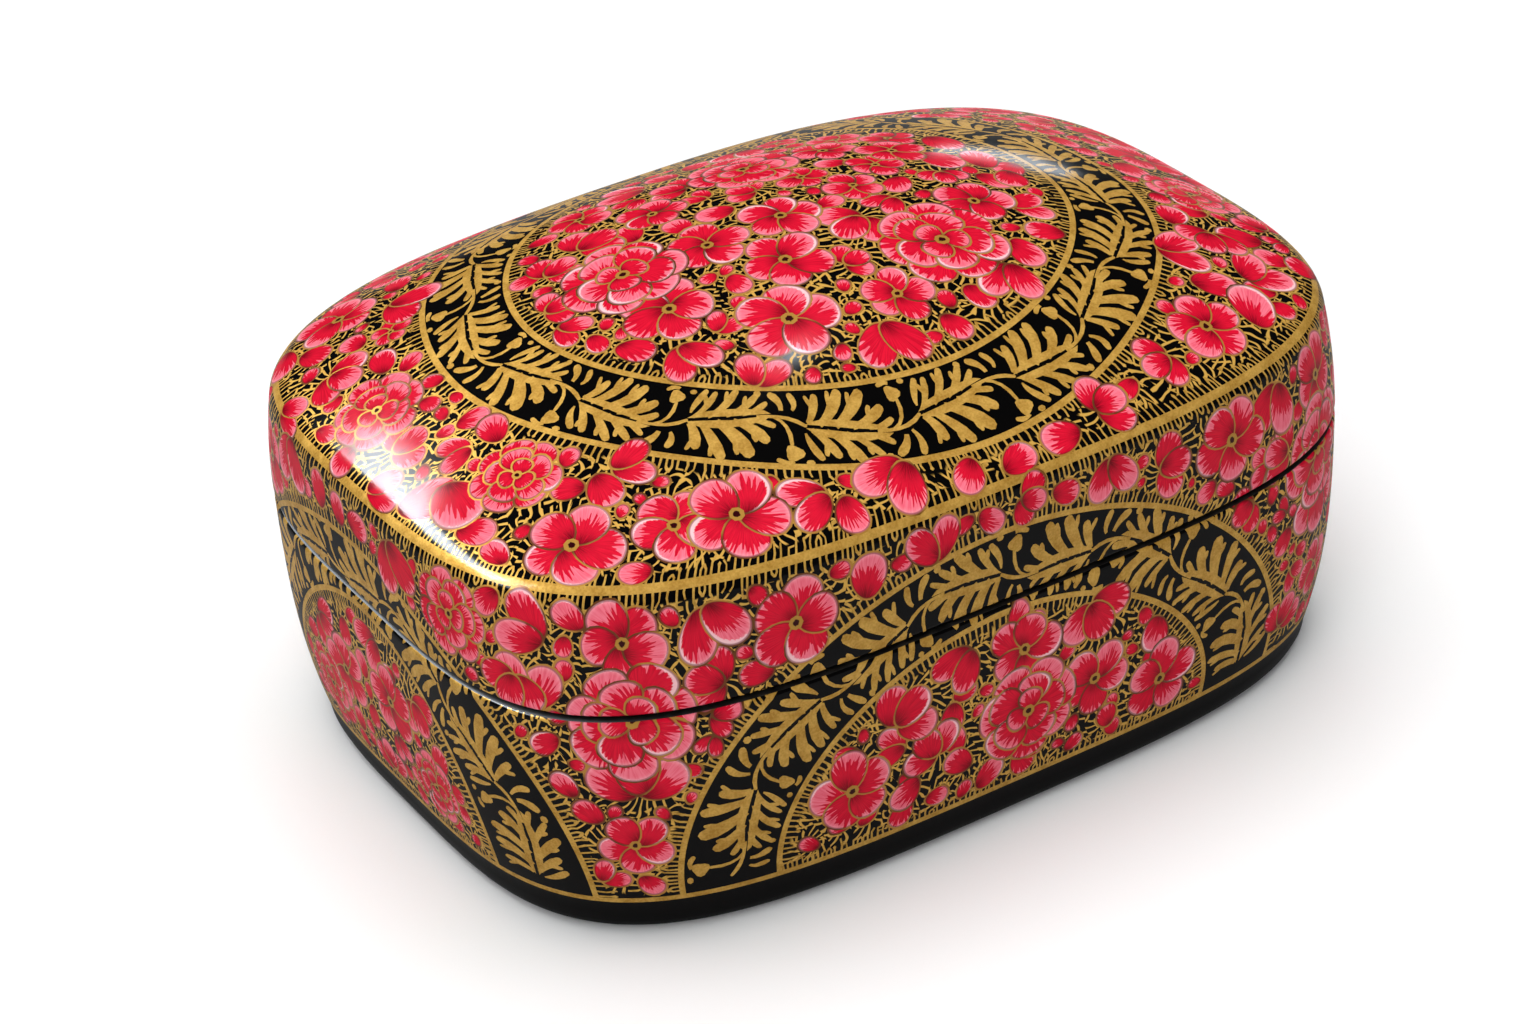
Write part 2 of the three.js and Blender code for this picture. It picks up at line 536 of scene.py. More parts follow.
def keep_shapes(surface, mesh, order, material, petal_numbers=False):
    """Adds the faces of a drawn mesh to the shapes that the shells are cut to."""
    flat = np.zeros(len(mesh.vertices) * 3)
    mesh.vertices.foreach_get("co", flat)
    flat = flat.reshape(-1, 3)[:, :2]
    sheet = sheet_from_side(flat) if surface == "side" else flat
    numbers = np.full(len(mesh.vertices), -1, np.float32)
    if petal_numbers:
        mesh.attributes["number"].data.foreach_get("value", numbers)
    for polygon in mesh.polygons:
        corners = list(polygon.vertices)
        number = int(round(numbers[corners[0]]))
        shapes.append((order + max(number, 0) * order_step, material.name, sheet[corners], number))


def rule_line(surface, points, width, paint=gold_paint, order=line_order):
    mesh = grown(ruling, path_mesh(surface, points), Width=width, Spacing=0.6, Material=paint)
    keep_shapes(surface, mesh, order, paint)


for radii in (outer_oval, inner_oval):
    rule_line("top", ellipse(oval_middle, radii), 0.62)
for height, width in ((ridge_height, 0.95), (foot_line, 0.62)):
    rule_line("side", level_line(height), width)
for height in (rim_height + rim_line / 2, seam_height - rim_line / 2):
    rule_line("side", level_line(height), rim_line, black_paint, rim_order)
for middle, outer_half, outer_top, inner_half, inner_top in arches:
    for half, top in ((outer_half, outer_top), (inner_half, inner_top)):
        rule_line("side", arch_line(middle, half, top), 0.6)


# Gold strokes and leaf sprays
# Short strokes stand on the gold lines like the teeth of a comb, and a leafy scroll grows round the
# black band of the oval and of each arch. The painter repeats a few brush marks along each line.
marking, wires = new_tree("marks_along_a_line", {
    "Motifs": "Collection", "Kinds": "Int", "Count": "Int", "Pitch": "Float", "Margin": "Float",
    "Loop": "Float", "Side": "Float", "Flip": "Float", "Vary": "Float", "Seed": "Int",
    "Material": "Material",
})
any_wire = wires["Geometry"]
spots = any_wire.make("GeometryNodeMeshLine", {
    "Count": wires["Count"], "Offset": any_wire.vector(wires["Pitch"]),
}, mode="OFFSET")
motifs = any_wire.make("GeometryNodeCollectionInfo", {
    "Collection": wires["Motifs"], "Separate Children": True, "Reset Children": True,
}, transform_space="ORIGINAL")
kind = any_wire.make("FunctionNodeRandomValue", {
    0: 0, 1: wires["Kinds"] - 1, "Seed": wires["Seed"],
}, data_type="INT")
number = any_wire.make("GeometryNodeInputIndex")
flipped = 1 - number.maths("MODULO", number, 2) * wires["Flip"] * 2
tall = any_wire.make("FunctionNodeRandomValue", {
    0: 1 - wires["Vary"], 1: 1 + wires["Vary"], "Seed": wires["Seed"] + 7,
}, data_type="FLOAT")
tall = flipped * tall * wires["Side"]
placed = any_wire.make("GeometryNodeInstanceOnPoints", {
    "Points": spots, "Instance": motifs, "Pick Instance": True, "Instance Index": kind,
    "Scale": any_wire.vector(1.0, tall, 1.0),
})
marks = any_wire.make("GeometryNodeRealizeInstances", {"Geometry": placed})
curve = any_wire.make("GeometryNodeMeshToCurve", {"Mesh": wires["Geometry"]})
along, out, _ = any_wire.make("GeometryNodeInputPosition").parts()
share = along / (wires["Pitch"] * wires["Count"])
share = share * (1 - wires["Margin"] * 2) + wires["Margin"]
held = share.larger(0.0).smaller(1.0)
share = share.maths("WRAP", share, 1.0, 0.0) * wires["Loop"] + held * (1 - wires["Loop"])
sampled = {"Curves": curve, "Factor": share}
spot = any_wire.make("GeometryNodeSampleCurve", sampled, "Position", mode="FACTOR")
tangent = Wire(any_wire.tree, spot.socket.node.outputs["Tangent"])
sideways = any_wire.vectors("SCALE", any_wire.vectors("CROSS_PRODUCT", (0, 0, 1), tangent), out)
bent = any_wire.make("GeometryNodeSetPosition", {
    "Geometry": marks, "Position": any_wire.vectors("ADD", spot, sideways),
})
end_tree(bent, wires["Material"])


def motif_set(name, motifs):
    """A collection with one flat object for each drawn motif."""
    collection = bpy.data.collections.new(name)
    for number, outlines in enumerate(motifs):
        points = [spot for outline in outlines for spot in outline]
        faces = []
        for outline in outlines:
            first = sum(len(face) for face in faces)
            faces.append(list(range(first, first + len(outline))))
        mesh = flat_mesh(f"{name}_{number}", points, faces=faces)
        collection.objects.link(bpy.data.objects.new(mesh.name, mesh))
    return collection


def brush_mark(spine, width, steps=5, start=0.25):
    """The outline of a brush mark along a bent spine, thin where it starts and round at its end."""
    a, b, c = (np.array(p, float) for p in spine)
    share = np.linspace(0, 1, steps)[:, None]
    line = a * (1 - share) ** 2 + 2 * b * share * (1 - share) + c * share ** 2
    heading = (b - a) * (1 - share) + (c - b) * share
    heading = heading / np.maximum(np.linalg.norm(heading, axis=1, keepdims=True), 1e-6)
    side = np.stack([-heading[:, 1], heading[:, 0]], -1)
    share = share[:, 0]
    swell = np.interp(share, [0, 0.3, 0.62, 0.85, 1], [start, 0.66, 0.92, 1, 0.76]) * width / 2
    tip = line[-1] + heading[-1] * width * 0.24
    tip_side = side[-1] * width * 0.18
    left = line + side * swell[:, None]
    right = line - side * swell[:, None]
    ends = [(tip - tip_side).tolist(), (tip + tip_side).tolist()]
    return [*right.tolist(), *ends, *left[::-1].tolist()]


def round_mark(x, y, radius, lobes, steps):
    angles = np.arange(steps) * 2 * math.pi / steps
    reach = radius * (1 + 0.16 * np.cos(lobes * angles))
    return (polar(reach, angles) + (x, y)).tolist()


# Two looped teeth of the comb, and seven strokes that all start from the same foot.
looped_teeth = [
    [(-0.36, -0.1), (-0.14, -0.1), (-0.16, 1.0), (0.0, 1.3), (0.16, 1.0), (0.14, -0.1),
     (0.36, -0.1), (0.38, 1.1), (0.12, 1.6), (-0.12, 1.6), (-0.38, 1.1)],
    [(-0.36, -0.1), (-0.16, -0.1), (-0.10, 0.8), (0.12, 1.1), (0.24, 0.8), (0.14, -0.1),
     (0.34, -0.1), (0.46, 0.9), (0.24, 1.4), (0.0, 1.4), (-0.28, 1.0)],
]
tooth_foot = [(-0.13, -0.1), (0.13, -0.1)]
plain_teeth = [
    [(0.11, 0.9), (0.02, 1.8), (-0.16, 1.8), (-0.10, 0.9)],
    [(0.15, 1.1), (0.46, 1.6), (0.28, 1.75), (-0.06, 1.3)],
    [(0.10, 1.0), (0.20, 1.35), (0.0, 1.55), (-0.20, 1.35), (-0.10, 1.0)],
    [(0.0, 1.3), (-0.34, 1.9), (-0.50, 1.75), (-0.12, 1.2)],
    [(0.12, 1.3), (0.62, 1.36), (0.66, 1.58), (-0.06, 1.54)],
    [(0.28, 0.8), (0.10, 1.7), (-0.08, 1.65), (0.04, 0.8)],
    [(-0.02, 0.8), (0.14, 1.5), (-0.04, 1.55), (-0.24, 0.8)],
]
teeth = looped_teeth + [tooth_foot + tooth for tooth in plain_teeth]
comb_marks = motif_set("comb", [[tooth] for tooth in teeth])


def mark_line(surface, points, motifs, order, margin, **settings):
    """Marks set out along a line, with a margin at the two ends of an open one."""
    closed = surface == "top"
    mesh = grown(marking, path_mesh(surface, points), Motifs=motifs, Kinds=len(motifs.objects),
                 Loop=float(closed), Margin=0.0 if closed else margin, Material=gold_paint,
                 **settings)
    keep_shapes(surface, mesh, order, gold_paint)


def length_of(points):
    return np.linalg.norm(np.diff(points, axis=0), axis=1).sum()


def comb(surface, points, tall, seed, pitch=0.8):
    """Short strokes that stand on one side of a line, or on its other side where tall is negative."""
    length = length_of(points)
    mark_line(surface, points, comb_marks, comb_order, comb_margin / length,
              Count=round(length / pitch), Pitch=pitch, Side=float(tall), Flip=0.0, Vary=0.35,
              Seed=seed)


comb_margin = 0.45
comb("top", ellipse(oval_middle, outer_oval), -1, 1)
comb("top", ellipse(oval_middle, inner_oval), 1, 2, 0.78)
comb("side", level_line(ridge_height), 1.2, 3)
comb("side", level_line(ridge_height), -1.2, 4)
for i, (middle, outer_half, outer_top, inner_half, inner_top) in enumerate(arches):
    comb("side", arch_line(middle, outer_half, outer_top), -1.2, 5 + i, 0.72)
    comb("side", arch_line(middle, inner_half, inner_top), 1.2, 9 + i, 0.72)
    under = level_line(foot_line, middle - inner_half, middle + inner_half, 60)
    comb("side", under, 0.9, 13 + i, 0.72)


# Each half of a leaf has a narrow body and a few lobes, each one stroke of the brush. A lobe is given
# by where it leaves the midrib, where its tip lies, and its width.
leaf_swing = 0.13
leaf_stretch = 0.88
blade_body = [
    (0.2, 0.18), (5.0, 0.22), (9.3, 0.10), (8.6, 0.55), (6.5, 0.95), (4.0, 1.05), (2.0, 0.9),
    (0.7, 0.5),
]
full_lobes = [
    (0.5, 1.9, 3.2, 1.05), (1.7, 4.5, 4.1, 1.30), (3.4, 7.0, 4.0, 1.30), (5.2, 8.8, 2.7, 1.05),
    (6.9, 9.7, 1.2, 0.75),
]
open_lobes = [
    (0.8, 2.9, 2.8, 1.00), (2.4, 5.4, 3.0, 1.10), (4.4, 7.5, 2.3, 0.95), (6.2, 8.8, 1.2, 0.70),
]


def leaf_unit(seed):
    """One length of the scroll: a leaf that leans to one side, its stalk, a bud, hooks and dots."""
    chance = np.random.default_rng(seed)

    def near(spine, reach=0.20):
        return [(x + chance.uniform(-reach, reach), y + chance.uniform(-reach, reach))
                for x, y in spine]

    outlines = []
    for side, lobes in ((1, full_lobes), (-1, open_lobes)):
        blade = [blade_body]
        for root, tip, height, width in lobes:
            elbow = (root + (tip - root) * 0.55, height * 0.36)
            spine = [(root, 0.32), *near([elbow, (tip, height)])]
            blade.append(brush_mark(spine, width * chance.uniform(0.85, 1.15), 6, 0.5))
            if height > 2:
                fork = [(elbow[0] + 0.1, height * 0.45), (elbow[0], height * 0.7),
                        (tip - 1.15, height * 0.98)]
                blade.append(brush_mark(near(fork, 0.12), 0.56, 5, 0.6))
        for outline in blade:
            outlines.append([(x * leaf_stretch, side * y - leaf_swing * x) for x, y in outline])
    outlines.append(brush_mark(near([(0.2, -0.7), (0.3, -1.9), (1.3, -3.3)]), 0.75, 6))
    outlines.append(brush_mark([(6.8, -0.9), (9.6, -1.4), (11.4, 0.0)], 0.44, 6, 1.0))
    outlines.append(brush_mark([(8.4, -1.0), (10.0, -0.3), (9.9, 1.9)], 0.44, 5, 0.8))
    outlines.append(round_mark(*near([(9.9, 2.6)])[0], 0.80, 3, 14))
    outlines.append(brush_mark(near([(9.8, 3.7), (9.2, 3.9), (8.5, 3.5)], 0.12), 0.55, 5, 0.7))
    outlines.append(brush_mark(near([(9.3, -1.8), (9.1, -2.7), (8.1, -3.4)]), 0.85, 6, 0.5))
    outlines.append(brush_mark(near([(10.1, -1.5), (10.8, -2.3), (10.3, -3.5)]), 0.72, 6, 0.4))
    outlines.append(round_mark(*near([(7.0, -3.6)], 0.15)[0], 0.34, 0, 7))
    outlines.append(round_mark(*near([(11.3, 3.6)], 0.15)[0], 0.34, 2, 8))
    return outlines


leaf_marks = motif_set("leaf", [leaf_unit(seed) for seed in range(5)])


def scroll(surface, points, count, seed, tall=1.0):
    """A scroll of so many leaves along a line, each leaning to the other side of it in turn."""
    stretch = length_of(points) / count / leaf_pitch
    mark_line(surface, points, leaf_marks, scroll_order, leaf_margin, Count=count,
              Pitch=leaf_pitch, Side=tall * stretch ** 0.3, Flip=1.0, Vary=0.04, Seed=seed)


leaf_pitch = 11.2
leaf_margin = 0.02
middle_oval = ((outer_oval[0] + inner_oval[0]) / 2, (outer_oval[1] + inner_oval[1]) / 2)
scroll("top", ellipse(oval_middle, middle_oval, -80, 280), 18, 21)
for i, (middle, outer_half, outer_top, inner_half, inner_top) in enumerate(arches):
    line = arch_line(middle, (outer_half + inner_half) / 2, (outer_top + inner_top) / 2)
    scroll("side", line, 8 if i < 2 else 7, 22 + i, 1.12)


# Flowers
# The fields between the bands are filled with crimson and pink flowers of five petals, double
# flowers, fans of three, pairs and single buds. Each petal is one loaded brush mark: crimson that
# breaks into streaks over pink, a pale edge, and an outline of gold.
def ellipse_gap(spots, middle, radii):
    """How far outside an ellipse spots lie, negative inside it."""
    x = (spots[:, 0] - middle[0]) / radii[0]
    y = (spots[:, 1] - middle[1]) / radii[1]
    size = np.hypot(x, y)
    steep = np.hypot(x / radii[0], y / radii[1])
    return size * (size - 1) / np.maximum(steep, 1e-6)


def arch_gaps(spots):
    """How far spots of the side lie outside the outer and the inner line of each arch in turn."""
    for middle, outer_half, outer_top, inner_half, inner_top in arches:
        for lap in (-seam_length, 0, seam_length):
            foot = (middle + lap, foot_line)
            yield (ellipse_gap(spots, foot, (outer_half, outer_top - foot_line)),
                   ellipse_gap(spots, foot, (inner_half, inner_top - foot_line)))


# The larger flowers of each field are given by their middle and size.
medallion = {
    "double": [
        (-18.5, 1.5, 12), (9.7, -12, 12.5), (2.5, 13, 11.5),
    ],
    "open": [
        (-18.3, -6.8, 9), (-5.5, -7.5, 8.5), (-10, -15, 10), (-1.5, -0.5, 8), (17, -7, 8),
        (-10, -0.5, 8), (-10, 10, 7), (-14.5, 17, 7), (11.5, 12, 7), (15, 15, 6), (19.5, 12, 6),
        (17, 7.5, 7), (13, 4.5, 6), (8, 1, 6), (5, 6, 6), (1, -17, 7),
    ],
    "fan": [
        (3.5, -6, 7), (-17, 10, 7), (-22, 8.5, 6), (-5, 14.5, 6), (-1, 7, 5), (-25.5, 2.5, 5),
    ],
    "pair": [
        (22, -9.5, 4.5), (12.5, -19.5, 5.5), (-20.5, -14, 5), (-3, -22, 6), (-16, -19.2, 4.5),
        (-8, 19.5, 5.5), (6, 19.5, 5),
    ],
    "bud": [
        (20.5, -14, 4), (16.5, -16.5, 4.5), (3.8, -22.7, 3.6), (8.2, -20.3, 3.6), (-12, -22, 2.2),
        (-8.5, -22.8, 1.6), (-23.8, -9.5, 4), (-25.9, -5.9, 3), (-23.8, -4.2, 2), (-11.2, -8, 3.2),
        (-12.7, -10.5, 2.2), (-4, -16.8, 2.2), (-3, -13.8, 2), (-6, 4.5, 4), (-25, 9.5, 3.5),
        (-14, 8, 4), (-19.3, 16, 3.3), (-22.5, 13.2, 2.5), (-18.5, 12.7, 2.5), (-3, 20, 4),
        (1.5, 20.5, 4), (23.5, 8, 5), (20, 3, 5), (24, 2, 5), (12, -1, 4), (25.5, -1, 4),
        (22, -3.5, 4), (24, -3.5, 4),
    ],
}
lid_field = {
    "double": [
        (-44, 6, 9.5), (-40, -14.5, 8.5), (44, -7, 10),
    ],
    "open": [
        (-37, 16, 4.5), (-40.5, -25, 9), (-32, -29, 8), (-26.5, -31, 9), (28, -30, 8.5), (46, 4, 9),
        (47, 12, 8), (40, 24, 8), (-38, 26, 9),
    ],
    "fan": [
        (-43.5, 14.5, 6.5), (-44.5, -1, 6), (12.5, -34.5, 6), (20.5, -32.5, 5.5), (38, -18, 6.5),
        (47, -14, 6), (48, -2, 6), (42, 17, 6),
    ],
    "pair": [
        (-49, 15.5, 5), (-42.5, -7, 4), (-31.5, -21, 4.5), (-20, -33, 5), (-11.5, -34.5, 6),
        (39.5, -24, 6), (33, -19.5, 6), (-48.7, -4, 5),
    ],
    "bud": [
        (-48.5, 8.5, 3), (-46, 11.5, 2.5), (-38.5, 9, 3), (-49.5, 3.5, 4), (-38.7, 4, 2.5),
        (-38.5, -0.3, 2), (-39, -4.5, 3.5), (-38.5, -7.5, 4), (-47, -9.5, 6), (-45.5, -12.5, 6),
        (-46, -17, 4), (-35.5, -16.5, 2.5), (-46, -20.5, 3.5), (-35, -22, 4), (-33, -25, 1.6),
        (-37.5, -31, 3.2), (-22, -30, 2), (-17, -35.5, 4), (-15.5, -32.7, 2.2), (-4.5, -36.3, 4),
        (1, -36.5, 4), (6.2, -36, 4.2), (15.5, -34, 3), (25.5, -27, 2.3), (29, -24, 2),
        (35, -28.5, 6), (33, -25, 5), (37.5, -26.5, 3.5), (38, -29.5, 3), (41, -28.5, 2.5),
        (42, -17.5, 5), (43, -21.5, 4), (46, -23, 4.5), (40, -12, 4), (37, -13, 4.5), (41, -1, 5),
        (-45.5, 24.5, 5), (-31, 26, 4),
    ],
}
corner_field = {
    "double": [
        (-41, 26.3, 12),
    ],
    "open": [
        (-41.5, 34.5, 8), (-42, 12, 7),
    ],
    "fan": [
        (-41, 20, 8), (-33.5, 29.5, 6),
    ],
    "pair": [
        (-34, 22.5, 2.6), (-51, 29.5, 6), (-33, 34.8, 6),
    ],
    "bud": [
        (-47, 31.7, 2.4), (-46.5, 21.5, 1.8), (-48, 19, 3.2), (-46, 16, 3.2), (-36.2, 17, 1.6),
        (-49.5, 23.5, 3.4), (-41.2, 6.7, 3),
    ],
}
front_field = {
    "double": [
        (0.5, 13, 11.5),
    ],
    "open": [
        (-24.8, 33.2, 9), (25.5, 34, 9), (31, 29, 6), (0, 20.5, 8), (-20, 12, 9), (8.5, 13.5, 8),
        (17, 9.8, 8.5),
    ],
    "fan": [
        (17.5, 34.5, 6), (8.5, 21, 7), (-13.5, 18.8, 7), (-11, 13.5, 6), (0.5, 8.4, 5.5),
    ],
    "pair": [
        (-10, 36.3, 5), (10.5, 36, 5), (0, 23.7, 4), (-7.5, 21.5, 5), (-15.5, 15.3, 4),
    ],
    "bud": [
        (-17, 35.5, 4.5), (-3.5, 36.5, 3.4), (5, 36.3, 3.2), (13.8, 34, 1.4), (20, 31.5, 1.4),
        (24.5, 29, 2.7), (32, 36, 3.5), (-7, 18.5, 2.8), (-20.5, 16.5, 2.8), (-21.5, 8.3, 2.7),
        (-18.5, 8.2, 2.7), (-8.5, 16, 3.5), (-8.3, 13.3, 3.5), (-7.8, 10.3, 3.6), (-14, 9, 4),
        (-14.5, 6.6, 3.4), (-10.3, 7, 2.8), (-7, 6.4, 2.4), (-25, 7.2, 2.6), (-14.2, 10.8, 1.8),
        (15.8, 15.8, 4), (14.5, 18.5, 2.2), (12.3, 17, 1.6), (11, 9.8, 2), (10.5, 8, 3),
        (6.5, 6.4, 2.4), (11.5, 6.2, 2.4), (22.3, 6.9, 2), (15.2, 13.2, 2), (17, 13.3, 2),
    ],
}
short_field = {
    "double": [
        (-60, 34, 9), (-67.5, 10, 8), (-89.5, 10.5, 8.5),
    ],
    "open": [
        (-74.5, 16.5, 8), (-84.5, 15, 8), (-98, 33, 8),
    ],
    "fan": [
        (-68.5, 18.2, 6), (-78, 7.6, 5.6), (-88, 18.5, 6), (-52.5, 29, 6),
    ],
    "pair": [
        (-51, 35.5, 5.5), (-77.5, 21.5, 5), (-91, 36, 6), (-69, 35, 6),
    ],
    "bud": [
        (-57.5, 28.5, 2), (-66.3, 32.5, 2), (-76, 36, 4), (-80, 36, 3.5), (-84, 36.3, 4),
        (-74, 20, 3.2), (-65.5, 14.3, 3.8), (-63.3, 11.5, 2.8), (-62.6, 9.4, 2.6), (-65, 6.8, 2.6),
        (-61.7, 6.6, 2), (-71.5, 9, 3), (-72, 6.4, 2.6), (-83, 20.3, 3.4), (-92, 16, 3),
        (-94.6, 12.5, 2.8), (-94, 8, 3), (-84, 9.2, 3.2), (-84.5, 6.4, 2.4), (-79.5, 12, 3.2),
        (-90, 5.9, 1.8),
    ],
}


def listed(field, change=lambda x, y: (x, y)):
    return [(kind, *change(x, y), size) for kind, spots in field.items() for x, y, size in spots]


def clear_of(others, x, y, size, share):
    return all(math.hypot(x - a, y - b) > share * (size + other) / 2 for _, a, b, other in others)


# How far apart flowers stay, as a share of their size, and how far from lines they are sown.
sown_clearance = 0.94
mirrored_clearance = 0.8
oval_margin, arch_margin, ridge_margin = 2.6, 2.2, 3
# The kinds and sizes of the flowers that are sown, the larger ones first.
sown_sorts = [
    (("fan", "open"), (4.6, 6.0)),
    (("pair", "pair", "bud"), (3.2, 4.4)),
    (("bud",), (1.8, 3.2)),
]


def sow(flowers, spots, seed):
    """Fills the gaps that the flowers leave among the candidate spots."""
    chance = np.random.default_rng(seed)
    for kinds, sizes in sown_sorts:
        for x, y in chance.permutation(np.asarray(spots)).tolist():
            size = chance.uniform(*sizes)
            if clear_of(flowers, x, y, size, sown_clearance):
                flowers.append((kinds[chance.integers(len(kinds))], x, y, size))


def grid_of(x_ends, y_ends, spacing=0.5):
    columns, rows = np.arange(*x_ends, spacing), np.arange(*y_ends, spacing)
    return np.stack(np.meshgrid(columns, rows), -1).reshape(-1, 2)


top_flowers = listed(medallion) + listed(lid_field)
for kind, x, y, size in listed(lid_field, lambda x, y: (-x, -y)):
    if clear_of(top_flowers, x, y, size, mirrored_clearance):
        top_flowers.append((kind, x, y, size))
grid = grid_of((-50, 50), (-38, 38))
ridge_gap = np.hypot(grid[:, 0], grid[:, 1])
ridge_gap = ridge_gap - reach_of(outside_at(ridge_height), direction_of(grid))
in_medallion = ellipse_gap(grid, oval_middle, inner_oval) < -oval_margin
in_field = (ellipse_gap(grid, oval_middle, outer_oval) > oval_margin) & (ridge_gap < -ridge_margin)
sow(top_flowers, grid[in_medallion | in_field], 31)

lap_start = -120
lap_middle = lap_start + seam_length / 2
side_flowers = listed(corner_field) + listed(front_field) + listed(short_field)
side_flowers += listed(corner_field, lambda x, y: (-1 - x, y))
side_flowers += [(kind, x + half_turn, y, size) for kind, x, y, size in side_flowers]
side_flowers = [
    (kind, (x - lap_start) % seam_length + lap_start, y, size) for kind, x, y, size in side_flowers
]
grid = grid_of((lap_start + 1, 190), (6.6, 37.2))
free = np.full(len(grid), True)
for outer, inner in arch_gaps(grid):
    free &= (outer > arch_margin) | (inner < -arch_margin)
sow(side_flowers, grid[free], 32)

# A row holds a petal's base, turn, width, length, flower and luck, and later whether it lies on the
# side and is an eye.
BASE, TURN, WIDTH, LENGTH, FLOWER = slice(0, 2), 2, 3, 4, slice(5, 7)
LUCK, ON_SIDE, IS_EYE = 7, 8, 9
petals = {"top": [], "side": []}
eyes = {"top": [], "side": []}
chance = np.random.default_rng(33)


def add_petal(surface, flower, reach, direction, length, width):
    """One petal that starts at a reach from the middle of its flower."""
    x = flower[0] + reach * math.cos(direction)
    y = flower[1] + reach * math.sin(direction)
    turn = direction - math.pi / 2
    petals[surface].append((x, y, turn, width, length, *flower, chance.uniform()))


def add_eye(surface, flower, size):
    eyes[surface].append((*flower, chance.uniform(0, 6), size, size, *flower, chance.uniform()))


# Rings of petals: count, reach, length, width and start. Clusters: the petals' directions, how far
# back they meet, length and width. Lengths are shares of the flower's size.
flower_rings = {
    "double": [(7, 0.16, 0.36, 0.47, 0), (5, 0.06, 0.34, 0.43, 0.4), (3, 0.00, 0.24, 0.31, 0.9)],
    "open": [(5, 0.0, 0.53, 0.56, 0)],
}
eye_sizes = {"double": 0.12, "open": 0.16}
flower_scale, bud_scale = 1.05, 1.08
clusters = {
    "fan": ((-0.95, 0.95, 0), 0.25, 0.68, 0.64),
    "pair": ((-0.5, 0.45), 0.42, 0.98, 0.76),
}


def add_flower(surface, kind, x, y, size):
    turn = chance.uniform(0, 2 * math.pi)
    flower = (x, y)
    size = size * flower_scale
    for count, reach, length, width, start in flower_rings.get(kind, []):
        for i in range(count):
            direction = turn + start + 2 * math.pi * (i + chance.uniform(-0.08, 0.08)) / count
            long = length * size * chance.uniform(0.9, 1.08)
            wide = width * size * chance.uniform(0.92, 1.08)
            add_petal(surface, flower, reach * size, direction, long, wide)
    if kind in eye_sizes:
        add_eye(surface, flower, size * eye_sizes[kind])
    elif kind in clusters:
        angles, back, length, width = clusters[kind]
        base = (x - back * size * math.cos(turn), y - back * size * math.sin(turn))
        for angle in angles:
            add_petal(surface, base, 0, turn + angle, size * length, size * width)
    else:
        long = size * bud_scale
        add_petal(surface, flower, -long / 2, turn, long, long * chance.uniform(0.84, 1.0))


for surface, flowers in (("top", top_flowers), ("side", side_flowers)):
    for kind, x, y, size in sorted(flowers, key=lambda flower: flower[3]):
        add_flower(surface, kind, x, y, size)


petal_steps = 16
petal_half_width = 0.42
petal_widening = 0.08
petal_round = polar(1, np.arange(petal_steps) * 2 * math.pi / petal_steps)
petal_outline = np.stack([
    petal_round[:, 0] * (petal_half_width + petal_widening * petal_round[:, 1]),
    (petal_round[:, 1] + 1) / 2,
], -1)
eye_outline = petal_round[::2] / 2

scattering, wires = new_tree("scattered_petals", {"Petal": "Object", "Material": "Material"})
any_wire = wires["Geometry"]
petal = any_wire.make("GeometryNodeObjectInfo", {"Object": wires["Petal"]}, "Geometry")
turn = any_wire.make("GeometryNodeInputNamedAttribute", {"Name": "turn"}, data_type="FLOAT")
size = any_wire.make("GeometryNodeInputNamedAttribute", {"Name": "size"}, data_type="FLOAT_VECTOR")
placed = any_wire.make("GeometryNodeInstanceOnPoints", {
    "Points": any_wire, "Instance": petal, "Rotation": any_wire.vector(z=turn), "Scale": size,
})
end_tree(placed, wires["Material"])


def add_attribute(mesh, name, values, kind="FLOAT"):
    """Gives each point of a mesh a number or a vector."""
    key = "vector" if kind == "FLOAT_VECTOR" else "value"
    mesh.attributes.new(name, kind, "POINT").data.foreach_set(key, np.ravel(values))


def scatter(rows, outline, first_number, material):
    """The petals or eyes of the rows, all cut from one outline."""
    rows = np.array(rows)
    spots = flat_mesh("spots", rows[:, BASE])
    sizes = np.column_stack([rows[:, WIDTH], rows[:, LENGTH], np.ones(len(rows))])
    add_attribute(spots, "size", sizes, "FLOAT_VECTOR")
    add_attribute(spots, "turn", rows[:, TURN])
    add_attribute(spots, "number", np.arange(len(rows)) + first_number)
    shape = flat_mesh("petal_template", outline, faces=[list(range(len(outline)))])
    template = bpy.data.objects.new("petal_template", shape)
    mesh = grown(scattering, spots, Petal=template, Material=material)
    bpy.data.objects.remove(template)
    return mesh


petal_paint, wire, shader = new_finish("petal_paint", **varnish)
gold = (0.42, 0.205, 0.040, 1)
umber = (0.13, 0.045, 0.014, 1)
dark_line = (0.16, 0.010, 0.014, 1)
crimson = (0.74, 0.008, 0.034, 1)
wine = (0.42, 0.002, 0.016, 1)
deep_crimson = (0.12, 0.002, 0.006, 1)
pink = (0.93, 0.20, 0.27, 1)
rose = (0.86, 0.11, 0.17, 1)
pale_pink = (0.97, 0.61, 0.63, 1)
line_share, luck, _ = wire.mark("mark_kind").parts()
disc = wire.mark("mark_place")
disc_x, disc_y, _ = disc.parts()
radius = disc.length()
lean = (luck * 7.3).fraction()
sideways = disc_x - (lean - 0.5) * 1.3
from_base = wire.vector(sideways, disc_y + 1).length() * 0.5
angle = wire.maths("ARCTAN2", sideways, disc_y + 1.05)
teeth = wire.noise(wire.vector(angle * 6.0, luck * 60, from_base * 0.7), 2.2, 1)
crimson_reach = luck * 0.26 + 0.64 + (teeth - 0.5) * 0.95
in_crimson = (crimson_reach - from_base).step(-0.012, 0.018)
